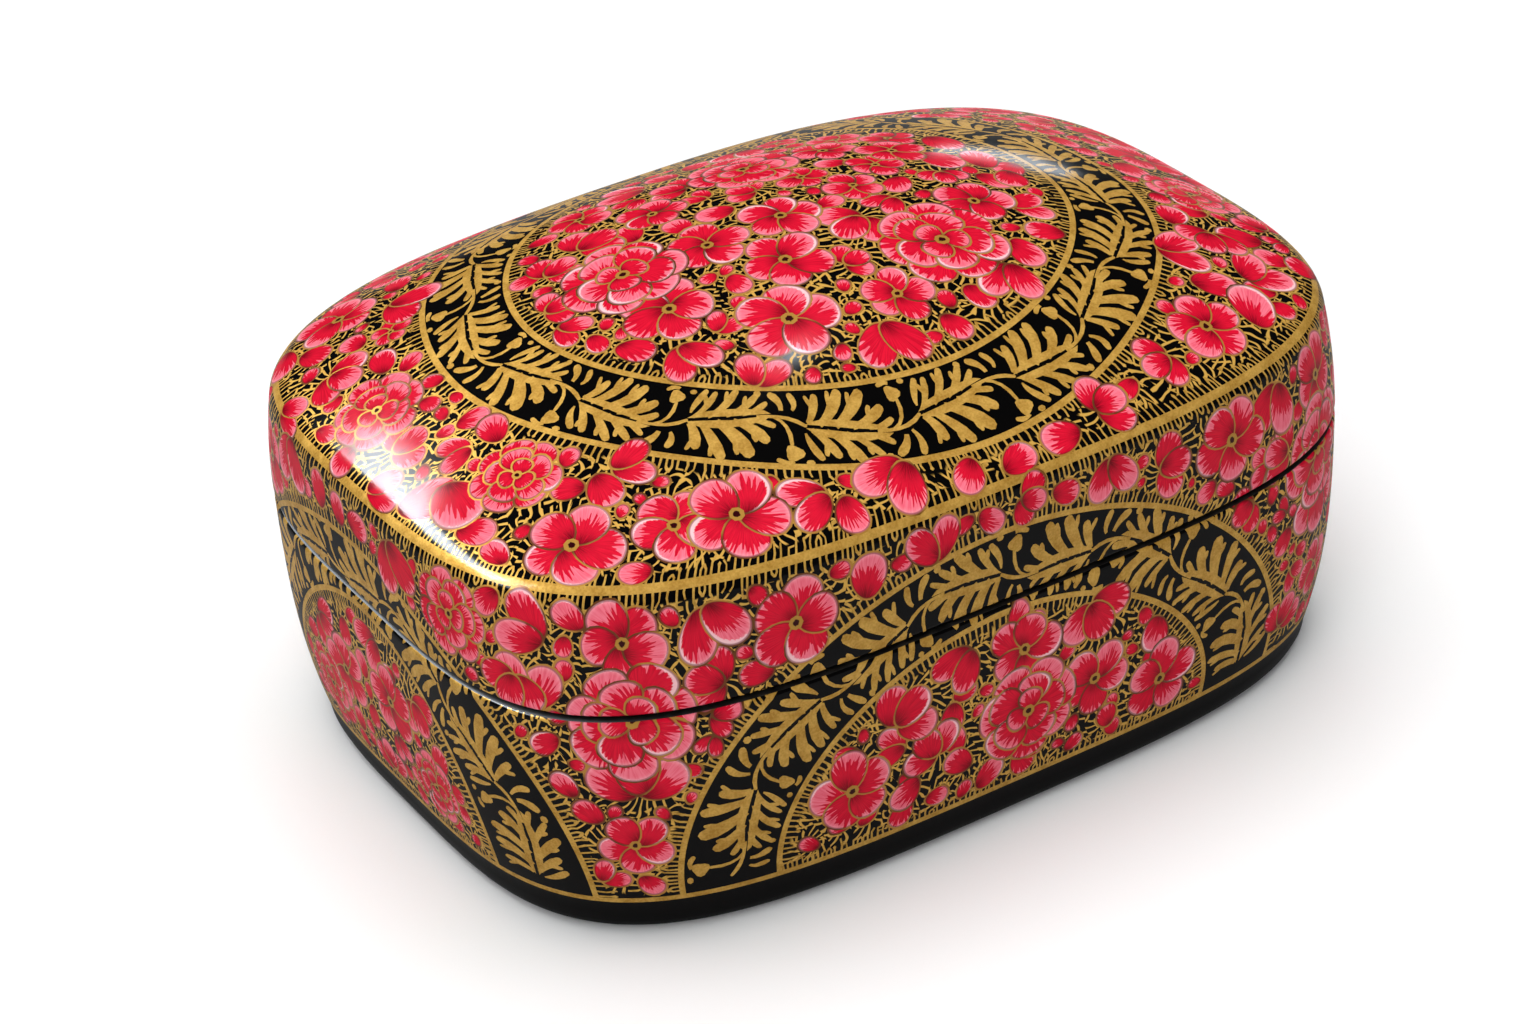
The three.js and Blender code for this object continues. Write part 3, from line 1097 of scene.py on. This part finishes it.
hairs = wire.noise(wire.vector(angle * 16, luck * 33, from_base), 1.6, 2).step(0.35, 0.7)
cast = (luck * 5.7).fraction()
from_off_middle = wire.vector(disc_x + (cast - 0.5) * 0.5, disc_y + 0.10).length()
pale_edge = (from_off_middle + (hairs - 0.5) * 0.06).step(0.93, 0.98)
pale_edge = pale_edge * cast.step(0.35, 0.40) * 0.9
margin = (radius.step(0.66, 0.98) * 0.42).blend(hairs.blend(pink, rose), pale_pink)
colour = in_crimson.blend(margin, (hairs * 0.55).blend(crimson, wine))
colour = (from_base.step(0.08, 0.55) + hairs.step(0.35, 0.75) * 0.6).blend(deep_crimson, colour)
colour = pale_edge.blend(colour, pale_pink)
beside_line = (radius - (1 - line_share * 1.5)).step(-0.03, 0.02)
colour = (beside_line * 0.65).blend(colour, dark_line)
outline_mask = (radius - (1 - line_share)).step(-0.02, 0.03)
worn_line = wire.noise(wire.place(), 210, 1).step(0.47, 0.60)
colour = outline_mask.blend(colour, worn_line.blend(gold, umber))
set_inputs(
    shader,
    Base_Color=colour,
    Metallic=outline_mask * 0.15,
    Roughness=hairs * 0.1 + 0.18 + outline_mask * 0.15,
    Normal=wire.bump(hairs * 0.3 + outline_mask, 0.3, paint_relief),
)

eye_paint, wire, shader = new_finish("eye_paint", **varnish)
eye_dark = (0.03, 0.002, 0.003, 1)
eye_gold = (0.42, 0.22, 0.040, 1)
speck = wire.noise(wire.place(), 3500, 2)
ring = (wire.mark("mark_place").length() + (speck - 0.5) * 0.5).step(0.38, 0.5)
set_inputs(
    shader,
    Base_Color=ring.blend(eye_dark, eye_gold),
    Metallic=ring * 0.15,
    Roughness=speck * 0.2 + 0.25,
    Normal=wire.bump(ring, 0.3, paint_relief),
)


# The painted skins
# The moulded shells are sanded, lacquered black, painted and varnished, so each shell has one smooth
# skin. Its faces are cut along the edge of every brush mark, and a mark painted later covers the
# ones below it. Between the marks a fine net of gold loops covers the black.
ridge_rounding = 1.7
rim_rounding = 0.7
outline_width = 0.24
crown_power = 2.0
halvings = 34
ridge = outside_at(ridge_height)
dome_end = 1 - ridge_rounding / half_width


def dome_at(share, edge, height):
    """The outline that lies at a share of the way out from the crown to the edge of a dome."""
    share = np.asarray(share, float)
    rise = (height - edge[2]) * (1 - share ** 2)
    power = crown_power + (edge[3] - crown_power) * share ** 2
    return level(edge[0] * share, edge[1] * share, edge[2] + rise, power)


def rounded(start, corner, end, share):
    """A rounded edge that leaves one outline for a sharp corner and arrives at another."""
    share = np.clip(np.asarray(share, float), 0, 1)[..., None]
    first = start + (corner - start) * share
    return first + (corner + (end - corner) * share - first) * share


def dome_share(x, y):
    """The share of the way out from the crown at a spot of the plan."""
    low = np.full(np.shape(x), 1e-6)
    high = np.full(np.shape(x), 1.3)
    for _ in range(halvings):
        middle = (low + high) / 2
        outline = dome_at(middle, ridge, crown_height)
        total = (np.abs(x) / outline[..., 0]) ** outline[..., 3]
        total = total + (np.abs(y) / outline[..., 1]) ** outline[..., 3]
        low = np.where(total > 1, middle, low)
        high = np.where(total > 1, high, middle)
    return (low + high) / 2


def chosen(mask, first, second):
    """The first outline or spot where the mask is true, and the second elsewhere."""
    return np.where(mask[..., None], first, second)


def side_at(height, shell):
    """The outline of the side, with the roundings of the ridge, the rims and the foot."""
    outline = outside_at(height)
    share = 0.5 + 0.5 * (ridge_height - height) / ridge_rounding
    under_ridge = outside_at(ridge_height - ridge_rounding)
    turn = rounded(dome_at(dome_end, ridge, crown_height), ridge, under_ridge, share)
    outline = chosen(height > ridge_height - ridge_rounding, turn, outline)
    rim_at, inward = (rim_height, 1) if shell == "lid" else (seam_height, -1)
    away = (height - rim_at) * inward
    rim = outside_at(rim_at)
    beside = outside_at(rim_at + inward * rim_rounding)
    turn = rounded(inset_by(rim, rim_rounding), rim, beside, away / rim_rounding)
    outline = chosen(away < rim_rounding, turn, outline)
    if shell == "lid":
        return outline
    side = outside_at(foot_radius)
    foot = at_height(side, 0)
    turn = rounded(inset_by(foot, foot_radius), foot, side, height / foot_radius)
    return chosen(height < foot_radius, turn, outline)


def depth_of(sheet):
    """How far beyond the ridge a spot of the sheet lies."""
    return np.hypot(sheet[..., 0], sheet[..., 1]) - reach_of(ridge, direction_of(sheet))


def spot_on(sheet, shell):
    """Where spots of the sheet lie on a shell."""
    direction = direction_of(sheet)
    depth = depth_of(sheet)
    side = side_at(ridge_height - np.maximum(depth, 0), shell)
    if shell == "base":
        return point_on(side, direction)
    share = dome_share(sheet[..., 0], sheet[..., 1])
    under_ridge = outside_at(ridge_height - ridge_rounding)
    over_ridge = dome_at(dome_end, ridge, crown_height)
    turn = rounded(over_ridge, ridge, under_ridge, 0.5 * (share - dome_end) / (1 - dome_end))
    top = chosen(share > dome_end, turn, dome_at(share, ridge, crown_height))
    return point_on(chosen(depth > 0, side, top), direction)


def normal_on(sheet, shell):
    """Which way a shell faces at spots of the sheet."""
    small = 0.02
    right = spot_on(sheet + [small, 0], shell) - spot_on(sheet - [small, 0], shell)
    back = spot_on(sheet + [0, small], shell) - spot_on(sheet - [0, small], shell)
    normal = np.cross(right, back)
    return normal / np.maximum(np.linalg.norm(normal, axis=-1, keepdims=True), 1e-12)


def side_from_sheet(sheet, near):
    """The length and height of spots of the side, with the length counted on from one near them."""
    wrapped = np.mod(direction_of(sheet) + math.pi / 2, 2 * math.pi) - math.pi / 2
    length = np.interp(wrapped, fine_directions, fine_lengths)
    length = length + seam_length * np.round((near - length) / seam_length)
    return np.stack([length, ridge_height - depth_of(sheet)], -1)


# A flower on the slope of the dome looks narrower from above, so its petals are drawn narrower.
def slope_at(place):
    normal = normal_on(place, "lid")
    lean = np.clip(normal[..., 2], 0.72, 1)
    steepness = np.linalg.norm(normal[..., :2], axis=-1, keepdims=True)
    return lean, normal[..., :2] / np.maximum(steepness, 1e-9)


def squeezed(place, anchor, lean, downhill):
    offset = place - anchor
    along = (offset * downhill).sum(-1, keepdims=True)
    return anchor + offset + downhill * along * (lean[..., None] - 1)


petal_rows = []
for surface in ("top", "side"):
    for rows, outline, material in (
        (petals[surface], petal_outline, petal_paint),
        (eyes[surface], eye_outline, eye_paint),
    ):
        mesh = scatter(rows, outline, len(petal_rows), material)
        keep_shapes(surface, mesh, petal_order, material, True)
        for row in rows:
            petal_rows.append((*row, surface == "side", material == eye_paint))
petal_rows = np.array(petal_rows, float)
on_side = petal_rows[:, ON_SIDE] == 1
anchors = petal_rows[:, FLOWER]
leans, downhills = slope_at(anchors)
leans[on_side] = 1.0

# A flower's eye lies over its own petals, and under the flowers that are painted after it.
petals_of_flower = {}
for number, row in enumerate(petal_rows):
    petals_of_flower.setdefault((row[ON_SIDE], *row[FLOWER]), []).append(number)
painted = []
for group in petals_of_flower.values():
    painted.extend((min(group), petal_rows[number][IS_EYE], number) for number in group)
rank = {number: i for i, (_, _, number) in enumerate(sorted(painted))}
finished = []
for order, material, outline, number in shapes:
    if number >= 0:
        if not on_side[number]:
            lean = leans[number:number + 1]
            outline = squeezed(outline, anchors[number], lean, downhills[number])
        order = petal_order + rank[number] * order_step
    finished.append((order, material, outline, number))
shapes = sorted(finished, key=lambda shape: shape[0])


def petal_coordinates(sheet, numbers):
    """Where spots lie in the unit disc of their own petals."""
    rows = petal_rows[numbers]
    offset = sheet - rows[:, FLOWER]
    along = (offset * downhills[numbers]).sum(-1, keepdims=True)
    flat = sheet + downhills[numbers] * along * (1 / leans[numbers] - 1)[:, None]
    flat = chosen(on_side[numbers], side_from_sheet(sheet, rows[:, 0]), flat)
    offset = flat - rows[:, BASE]
    cos, sin = np.cos(rows[:, TURN]), np.sin(rows[:, TURN])
    x = (offset[:, 0] * cos + offset[:, 1] * sin) / rows[:, WIDTH]
    y = (offset[:, 1] * cos - offset[:, 0] * sin) / rows[:, LENGTH]
    half_wide = np.maximum(petal_half_width + petal_widening * (2 * y - 1), 0.1)
    petal = np.stack([x / half_wide, 2 * y - 1], -1)
    eye = np.stack([2 * x, 2 * y], -1)
    return chosen(rows[:, IS_EYE] == 1, eye, petal)


def net_amount(sheet):
    """1 in the fields between the bands, where the net of gold loops is, and 0 elsewhere."""
    band_edge, ridge_edge, foot_edge = 1.3, 1.6, 0.9
    depth = depth_of(sheet)
    inner = ellipse_gap(sheet, oval_middle, inner_oval)
    outer = ellipse_gap(sheet, oval_middle, outer_oval)
    on_top = np.maximum(-inner - band_edge, np.minimum(outer - band_edge, -depth - ridge_edge))
    side = side_from_sheet(sheet, lap_middle)
    on_side = np.minimum(depth - ridge_edge, ridge_height - depth - foot_line - foot_edge)
    for outer, inner in arch_gaps(side):
        on_side = np.minimum(on_side, np.maximum(outer - band_edge, -inner - band_edge))
    return np.clip(np.where(depth > 0, on_side, on_top) * 2.5 + 0.5, 0, 1)


def nearest_flower(centres, corners):
    """The places of corners round the flower nearest to each triangle, its strokes and its edge."""
    stroke_spacing = 1.05
    on_side = depth_of(centres) > 0
    offset = np.zeros(corners.shape)
    edge_reach = np.ones(len(centres))
    for flowers, here in ((top_flowers, ~on_side), (side_flowers, on_side)):
        spots = np.array([flower[1:] for flower in flowers])
        flat = centres[here]
        flat_corners = corners[here]
        if flowers is side_flowers:
            flat = side_from_sheet(flat, lap_middle)
            flat_corners = side_from_sheet(flat_corners, np.repeat(flat[:, :1], 3, axis=1))
        away = flat[:, None, :] - spots[None, :, :2]
        laps = np.zeros(away.shape[:2])
        if flowers is side_flowers:
            laps = np.round(away[..., 0] / seam_length)
        away[..., 0] -= laps * seam_length
        best = (np.hypot(away[..., 0], away[..., 1]) - spots[None, :, 2] / 2).argmin(1)
        from_middle = flat_corners - spots[best][:, None, :2]
        from_middle[:, :, 0] -= (laps[np.arange(len(best)), best] * seam_length)[:, None]
        offset[here] = from_middle
        edge_reach[here] = spots[best, 2] / 2
    return offset, np.round(2 * math.pi * (edge_reach + 0.5) / stroke_spacing), edge_reach


black_lacquer, wire, shader = new_finish("lacquer_and_net", **varnish)
lacquer_black = (0.0018, 0.0016, 0.0016, 1)
net_gold = (0.62, 0.355, 0.072, 1)
x, y, _ = wire.mark("mark_place").parts()
stroke_count, flower_edge, _ = wire.mark("mark_kind").parts()
unsteady = wire.noise(wire.place(), 380, 1)
out_from_edge = wire.vector(x, y).length() - flower_edge
bend = (unsteady - 0.5) * 1.8 + out_from_edge * 0.45
turns = wire.maths("ARCTAN2", y, x) * stroke_count / (2 * math.pi) + bend
strokes = 1 - turns.pingpong(0.5).step(0.11, 0.17)
lap = (out_from_edge + (unsteady - 0.5) * 1.4).pingpong(0.85)
links = (1 - lap.step(0.09, 0.14)) * wire.noise(wire.place(), 700, 0).step(0.53, 0.57)
amount = wire.make("ShaderNodeAttribute", output="Fac", attribute_name="net")
gold_net = strokes.larger(links) * amount.step(0.3, 0.7)
dust = wire.noise(wire.place(), 260, 3)
set_inputs(
    shader,
    Base_Color=gold_net.blend(lacquer_black, net_gold),
    Metallic=gold_net * 0.08,
    Roughness=gold_net * 0.30 + dust * 0.05 + 0.08,
    Normal=wire.bump(gold_net, 0.3, paint_relief),
)

skin_materials = [black_lacquer, gold_paint, petal_paint, eye_paint, black_paint]
material_numbers = {material.name: i for i, material in enumerate(skin_materials)}
loop_directions = even_directions(480)


def loop_at(height):
    """A ring of the sheet at a height of the side."""
    reach = reach_of(ridge, loop_directions) + ridge_height - height
    return polar(reach, loop_directions)


def stitched(first, first_directions, second, second_directions):
    """Triangles between two rings of points that are in order of direction."""
    faces = []
    i = j = 0
    n, m = len(first), len(second)
    first_ends = np.r_[first_directions, first_directions[0] + 2 * math.pi]
    second_ends = np.r_[second_directions, second_directions[0] + 2 * math.pi]
    while i < n or j < m:
        if j >= m or (i < n and first_ends[i + 1] <= second_ends[j + 1]):
            faces.append((first[i], first[(i + 1) % n], second[j % m]))
            i += 1
        else:
            faces.append((first[i % n], second[(j + 1) % m], second[j]))
            j += 1
    return faces


def cut_skin(shell, outer, hole, rings, spots):
    """The painted skin of a shell: its sheet points, triangles, materials and petal numbers.

    Rings and spots are only there to round the skin finely enough between the marks.
    """
    vertices = []
    edges = []
    faces = []

    def add_loop(loop):
        first = len(vertices)
        vertices.extend(Vector(p) for p in loop.tolist())
        return list(range(first, first + len(loop)))

    faces.append(add_loop(outer))
    if hole is not None:
        faces.append(add_loop(hole))
    first_shape = len(faces)
    used = []
    for shape in shapes:
        outline = shape[2]
        depth = depth_of(outline)
        if shell == "lid" and depth.min() > ridge_height - rim_height:
            continue
        if shell == "base" and depth.max() < ridge_height - seam_height:
            continue
        area = np.cross(outline, np.roll(outline, -1, axis=0)).sum()
        faces.append(add_loop(outline if area > 0 else outline[::-1]))
        used.append(shape)
    for ring in rings:
        numbers = add_loop(ring)
        edges.extend(zip(numbers, numbers[1:] + numbers[:1]))
    add_loop(spots)
    points, _, triangles, _, _, covers = delaunay_2d_cdt(vertices, edges, faces, 0, 1e-5, True)
    sheet = np.array([tuple(p) for p in points])
    ground = (0, black_lacquer.name, None, -1)
    kept, materials, numbers = [], [], []
    for triangle, ids in zip(triangles, covers):
        if 0 not in ids or (hole is not None and 1 in ids):
            continue
        top = max(ids)
        _, material, _, number = used[top - first_shape] if top >= first_shape else ground
        kept.append(triangle)
        materials.append(material_numbers[material])
        numbers.append(number)
    kept = np.array(kept)
    used_points, kept = np.unique(kept.ravel(), return_inverse=True)
    return sheet[used_points], kept.reshape(-1, 3), np.array(materials), np.array(numbers)


def open_edges(triangles):
    """The points on the open edges of a skin."""
    sides = np.concatenate([triangles[:, [0, 1]], triangles[:, [1, 2]], triangles[:, [2, 0]]])
    keys = np.sort(sides, axis=1)
    _, index, counts = np.unique(keys, axis=0, return_index=True, return_counts=True)
    return np.unique(keys[index[counts == 1]])


def in_order(numbers, sheet):
    """Points of one open edge, in order of direction."""
    directions = np.mod(direction_of(sheet[numbers]), 2 * math.pi)
    order = np.argsort(directions)
    return numbers[order].tolist(), directions[order]


def on_chart(share, middle):
    """A ring of the bake chart, in the shape of the ridge."""
    return polar(reach_of(ridge, ring_directions) * share, ring_directions) + middle


def paint_shell(mesh, skin, charts):
    """Gives a shell its bake chart, and tells each face of the skin which mark it belongs to."""
    sheet, triangles, materials, numbers = skin
    corners = np.zeros(len(mesh.loops), np.int32)
    mesh.loops.foreach_get("vertex_index", corners)
    chart = charts[corners] / (np.abs(charts).max() * 1.01) / 2 + 0.5
    mark_place = np.zeros((len(corners), 2))
    mark_kind = np.zeros((len(corners), 2))
    owner = np.repeat(numbers, 3)
    owned = np.nonzero(owner >= 0)[0]
    rows = petal_rows[owner[owned]]
    mark_place[owned] = petal_coordinates(sheet[corners[owned]], owner[owned])
    mark_kind[owned, 0] = outline_width / ((rows[:, WIDTH] + rows[:, LENGTH]) / 4)
    mark_kind[owned, 1] = rows[:, LUCK]
    ground = np.nonzero(materials == material_numbers[black_lacquer.name])[0]
    ground_corners = (ground[:, None] * 3 + np.arange(3)).ravel()
    spots = sheet[triangles[ground]]
    offset, stroke_count, edge_reach = nearest_flower(sheet[triangles].mean(1)[ground], spots)
    mark_place[ground_corners] = offset.reshape(-1, 2)
    mark_kind[ground_corners] = np.repeat(np.stack([stroke_count, edge_reach], -1), 3, axis=0)
    for name, values in (("OFBake", chart), ("mark_place", mark_place), ("mark_kind", mark_kind)):
        layer = mesh.uv_layers.new(name=name)
        layer.uv.foreach_set("vector", values.astype(np.float32).ravel())
    mesh.uv_layers["OFBake"].active_render = True
    net = np.zeros(len(mesh.vertices), np.float32)
    net[:len(sheet)] = net_amount(sheet)
    add_attribute(mesh, "net", net)


def shell_piece(name, shell, skin, rings, edge, last_edge=None, chart_middle=(0, 0)):
    """A closed shell: the painted skin, then the rings of its inside, closed to a point or an edge.

    Each ring is an outline and its share of the bake chart.
    """
    sheet, triangles, materials, _ = skin
    points = [spot_on(sheet, shell)]
    charts = [sheet]
    inner_faces = []
    ring_starts = [len(sheet) + ring_steps * k for k in range(len(rings))]
    for k, (outline, share) in enumerate(rings):
        points.append(point_on(outline, ring_directions))
        charts.append(on_chart(share, chart_middle))
        if k:
            inner_faces.extend(ring_faces(ring_starts[k - 1], ring_starts[k], ring_steps))
    first_ring = list(range(ring_starts[0], ring_starts[0] + ring_steps))
    inner_faces.extend(stitched(*edge, first_ring, ring_directions))
    last = ring_starts[-1]
    if last_edge:
        last_ring = list(range(last, last + ring_steps))
        inner_faces.extend(stitched(last_ring, ring_directions, *last_edge))
    else:
        points.append(np.array([[0, 0, rings[-1][0][2]]]))
        charts.append(np.array([chart_middle]))
        inner_faces.extend(fan_faces(last, last + ring_steps, ring_steps))
    if shell == "lid":
        inner_faces = [face[::-1] for face in inner_faces]
    inner_materials = [material_numbers[black_paint.name]] * len(inner_faces)
    faces = triangles.tolist() + inner_faces
    piece = make_piece(name, np.concatenate(points), faces, skin_materials)
    mesh = piece.data
    material_index = np.array([*materials, *inner_materials], np.int32)
    mesh.polygons.foreach_set("material_index", material_index)
    paint_shell(mesh, skin, np.concatenate(charts))
    normals = np.zeros((len(mesh.vertices), 3))
    normals[:len(sheet)] = normal_on(sheet, shell)
    mesh.normals_split_custom_set_from_vertices(normals.tolist())
    return piece


def inside_of_rim(height, inward, rim_share, wall_share):
    """The two rings where the flat of a rim turns softly into the inside of its wall."""
    rim = outside_at(height)
    soft_edge = at_height(inset_by(rim, wall_thickness), height + inward)
    return [(inset_by(rim, wall_thickness - edge_bevel), rim_share), (soft_edge, wall_share)]


def side_spots(low, high, spacing):
    """Spots spread over the side between two heights."""
    count = round(seam_length / spacing)
    rows = max(1, round((high - low) / spacing))
    spots = []
    for row in range(1, rows):
        lengths = (np.arange(count) + 0.5 * (row % 2)) * seam_length / count
        spots.append(np.stack([lengths, np.full(count, low + (high - low) * row / rows)], -1))
    return sheet_from_side(np.concatenate(spots))


# Base wall
# The lower shell of pressed paper pulp, open at the top. Its foot is turned in round the board, its
# rim is rounded off and left black, and its inside is brushed with the same black as the board.
spot_spacing = 1.3
rim_steps = 4
foot_steps = 5
ridge_steps = 4
wall_rings = 7
wall_share = 1.17
fine_heights = [seam_height - rim_rounding * k / rim_steps for k in range(1, rim_steps + 1)]
fine_heights += [foot_radius * k / foot_steps for k in range(1, foot_steps + 1)]
skin = cut_skin("base", loop_at(0), loop_at(seam_height), [loop_at(z) for z in fine_heights],
                side_spots(foot_radius, seam_height - rim_rounding, spot_spacing))
sheet, triangles = skin[:2]
boundary = open_edges(triangles)
is_foot = depth_of(sheet[boundary]) > ridge_height - seam_height / 2
rim_edge = in_order(boundary[~is_foot], sheet)
foot_edge = in_order(boundary[is_foot], sheet)
rings = inside_of_rim(seam_height, -edge_bevel, 1.2, wall_share)
for k in range(1, wall_rings + 1):
    z = (seam_height - edge_bevel) * (1 - k / wall_rings)
    rings.append((base_inside(z), wall_share - 0.6 * k / wall_rings))
base_wall = shell_piece("base_wall_painted", "base", skin, rings, rim_edge, foot_edge)
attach(base_wall, "base")
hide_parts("base_wall")


# Lid
# The upper shell, moulded in one with its dome from the same paper pulp. It is finished as the base
# is, and painted black inside.
crown_thickness = 2.6
inner_side_rings = 4
inner_ridge_steps = 4
inner_dome_edge = 0.975
inner_dome_rings = 14
side_share = 0.258
inner_chart_middle = (0, 62)
top_grid = np.stack(np.meshgrid(
    np.arange(-50.7, 51, spot_spacing), np.arange(-38.3, 38.4, spot_spacing)), -1)
top_grid[1::2, :, 0] += spot_spacing / 2
top_grid = top_grid.reshape(-1, 2)
top_grid = top_grid[dome_share(top_grid[:, 0], top_grid[:, 1]) < dome_end - 0.012]
fine_rings = []
for k in range(ridge_steps):
    outline = dome_at(dome_end + (1 - dome_end) * k / ridge_steps, ridge, crown_height)
    fine_rings.append(point_on(outline, loop_directions)[:, :2])
for k in range(ridge_steps + 1):
    fine_rings.append(loop_at(ridge_height - ridge_rounding * k / ridge_steps))
for k in range(1, rim_steps + 1):
    fine_rings.append(loop_at(rim_height + rim_rounding * k / rim_steps))
lid_side_spots = side_spots(rim_height + rim_rounding, ridge_height - ridge_rounding, spot_spacing)
skin = cut_skin("lid", loop_at(rim_height), None, fine_rings,
                np.concatenate([top_grid, lid_side_spots]))
sheet, triangles = skin[:2]
rim_edge = in_order(open_edges(triangles), sheet)
inner_ridge_height = ridge_height - crown_thickness
inner_ridge = inset_by(outside_at(inner_ridge_height), wall_thickness)
inner_crown = crown_height - crown_thickness
rings = inside_of_rim(rim_height, edge_bevel, 0.26, side_share)
side_start, side_rise = rim_height + edge_bevel, inner_ridge_height - 0.8 - rim_height - edge_bevel
for k in range(1, inner_side_rings + 1):
    outline = outside_at(side_start + side_rise * k / inner_side_rings)
    rings.append((inset_by(outline, wall_thickness), side_share - 0.012 * k))
side_end = rings[-1][0]
dome_start = dome_at(inner_dome_edge, inner_ridge, inner_crown)
for k in range(1, inner_ridge_steps):
    turn = rounded(side_end, inner_ridge, dome_start, k / inner_ridge_steps)
    rings.append((turn, 0.21 - 0.003 * k))
for k in range(inner_dome_rings - 1):
    share = inner_dome_edge * (1 - k / inner_dome_rings)
    rings.append((dome_at(share, inner_ridge, inner_crown), 0.195 * share))
rings.append((dome_at(0.04, inner_ridge, inner_crown), 0.008))
lid = shell_piece("lid_shell_painted", "lid", skin, rings, rim_edge, None, inner_chart_middle)
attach(lid, "lid")
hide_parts("lid_shell")
for collection in (comb_marks, leaf_marks):
    for drawn in list(collection.objects):
        bpy.data.objects.remove(drawn)
    bpy.data.collections.remove(collection)


# Floor and light
# The box stands on a plain pale floor that fades to white far off. A broad soft lamp hangs over it
# and a screen stands in front at the left. Small lamps give the glints in the varnish and no light
# besides.
white = (1, 1, 1, 1)
black = (0, 0, 0, 1)
floor_grey = (0.60, 0.60, 0.60, 1)
floor_pale = (0.97, 0.97, 0.97, 1)
sky_blue = (0.9, 0.95, 1, 1)
floor_corners = [(-3, -3), (3, -3), (3, 3), (-3, 3)]
floor = new_object("floor", flat_mesh("floor", floor_corners, faces=[(0, 1, 2, 3)]))
floor_paint, wire, shader = new_finish("floor_paint", Roughness=0.6, Specular_IOR_Level=0.0)
seen = wire.make("ShaderNodeLightPath", output="Is Camera Ray")
for kind in ("Is Glossy Ray", "Is Transmission Ray"):
    seen = seen.larger(wire.make("ShaderNodeLightPath", output=kind))
far = wire.place().length().step(0.45, 1.3)
set_inputs(
    shader,
    Base_Color=seen.blend(floor_grey, far.blend(floor_pale, black)),
    Emission_Color=(seen * far).blend(black, white),
    Emission_Strength=1.0,
)
floor.data.materials.append(floor_paint)

world = bpy.data.worlds.new("studio")
world.use_nodes = True
sky = Wire(world.node_tree)
seen = sky.make("ShaderNodeLightPath", output="Is Camera Ray")
background = sky.tree.nodes["Background"]
set_inputs(background, Color=seen.blend(sky_blue, white), Strength=seen * 0.90 + 0.10)
bpy.context.scene.world = world

lid_middle = Vector((0, 0, 0.04))
glint_blue = (0.86, 0.93, 1)


def towards(azimuth, elevation):
    """A direction from the box, in degrees from the back round to the right, and in degrees up."""
    azimuth, elevation = math.radians(azimuth), math.radians(elevation)
    level_reach = math.cos(elevation)
    return Vector((math.sin(azimuth) * level_reach, math.cos(azimuth) * level_reach,
                   math.sin(elevation)))


def soft_lamp(name, azimuth, elevation, distance, size, power, diffuse=True, glossy=True):
    """An area lamp in a direction from the lid, facing it."""
    data = bpy.data.lights.new(name, "AREA")
    data.shape = "RECTANGLE"
    data.size, data.size_y = size
    data.energy = power
    data.color = (1, 1, 1) if diffuse else glint_blue
    lamp = new_object(name, data)
    away = towards(azimuth, elevation)
    facing = away.to_track_quat("Z", "Y").to_matrix().to_4x4()
    lamp.matrix_world = Matrix.Translation(lid_middle + away * distance) @ facing
    lamp.visible_diffuse = diffuse
    lamp.visible_glossy = glossy
    lamp.visible_camera = False


soft_lamp("window", -12, 84, 1.5, (1.6, 1.6), 26.5, glossy=False)
soft_lamp("front_screen", -138, 36, 1.6, (1.2, 1.0), 11.8, glossy=False)
soft_lamp("long_glint", -48, 41, 0.9, (0.82, 0.15), 52.0, diffuse=False)
soft_lamp("corner_glint", -82, 38, 0.9, (0.26, 0.36), 14.0, diffuse=False)
soft_lamp("thin_glint", -16, 36, 0.9, (0.07, 0.03), 0.9, diffuse=False)
soft_lamp("far_glint", 42, 6, 1.1, (0.14, 0.06), 0.5, diffuse=False)
soft_lamp("small_glint", 47, 64, 1.1, (0.06, 0.02), 0.60, diffuse=False)


# Camera
# Above the front left corner of the box, at a slight tilt. Its place was fitted in half lengths of
# the box.
half_box = 51 * MM
aim_right, aim_up, aim_height = -0.0831, -0.0444, 0.4
camera_distance = 7.7765
camera_azimuth, camera_elevation = 210.533, 31.4661
roll = math.radians(-3.907)
back = towards(camera_azimuth, camera_elevation)
right = towards(camera_azimuth - 90, 0)
up = back.cross(right)
target = (right * aim_right + up * aim_up + Vector((0, 0, aim_height))) * half_box
rolled_right = right * math.cos(roll) + up * math.sin(roll)
rolled_up = up * math.cos(roll) - right * math.sin(roll)
camera_data = bpy.data.cameras.new("camera")
camera_data.lens = 90.67
camera_data.sensor_width = 36
camera_data.clip_start = 0.01
camera = new_object("camera", camera_data)
facing = Matrix((rolled_right, rolled_up, back)).transposed().to_4x4()
camera.matrix_world = Matrix.Translation(target + back * camera_distance * half_box) @ facing
bpy.context.scene.camera = camera
bpy.context.scene.view_settings.view_transform = "Standard"
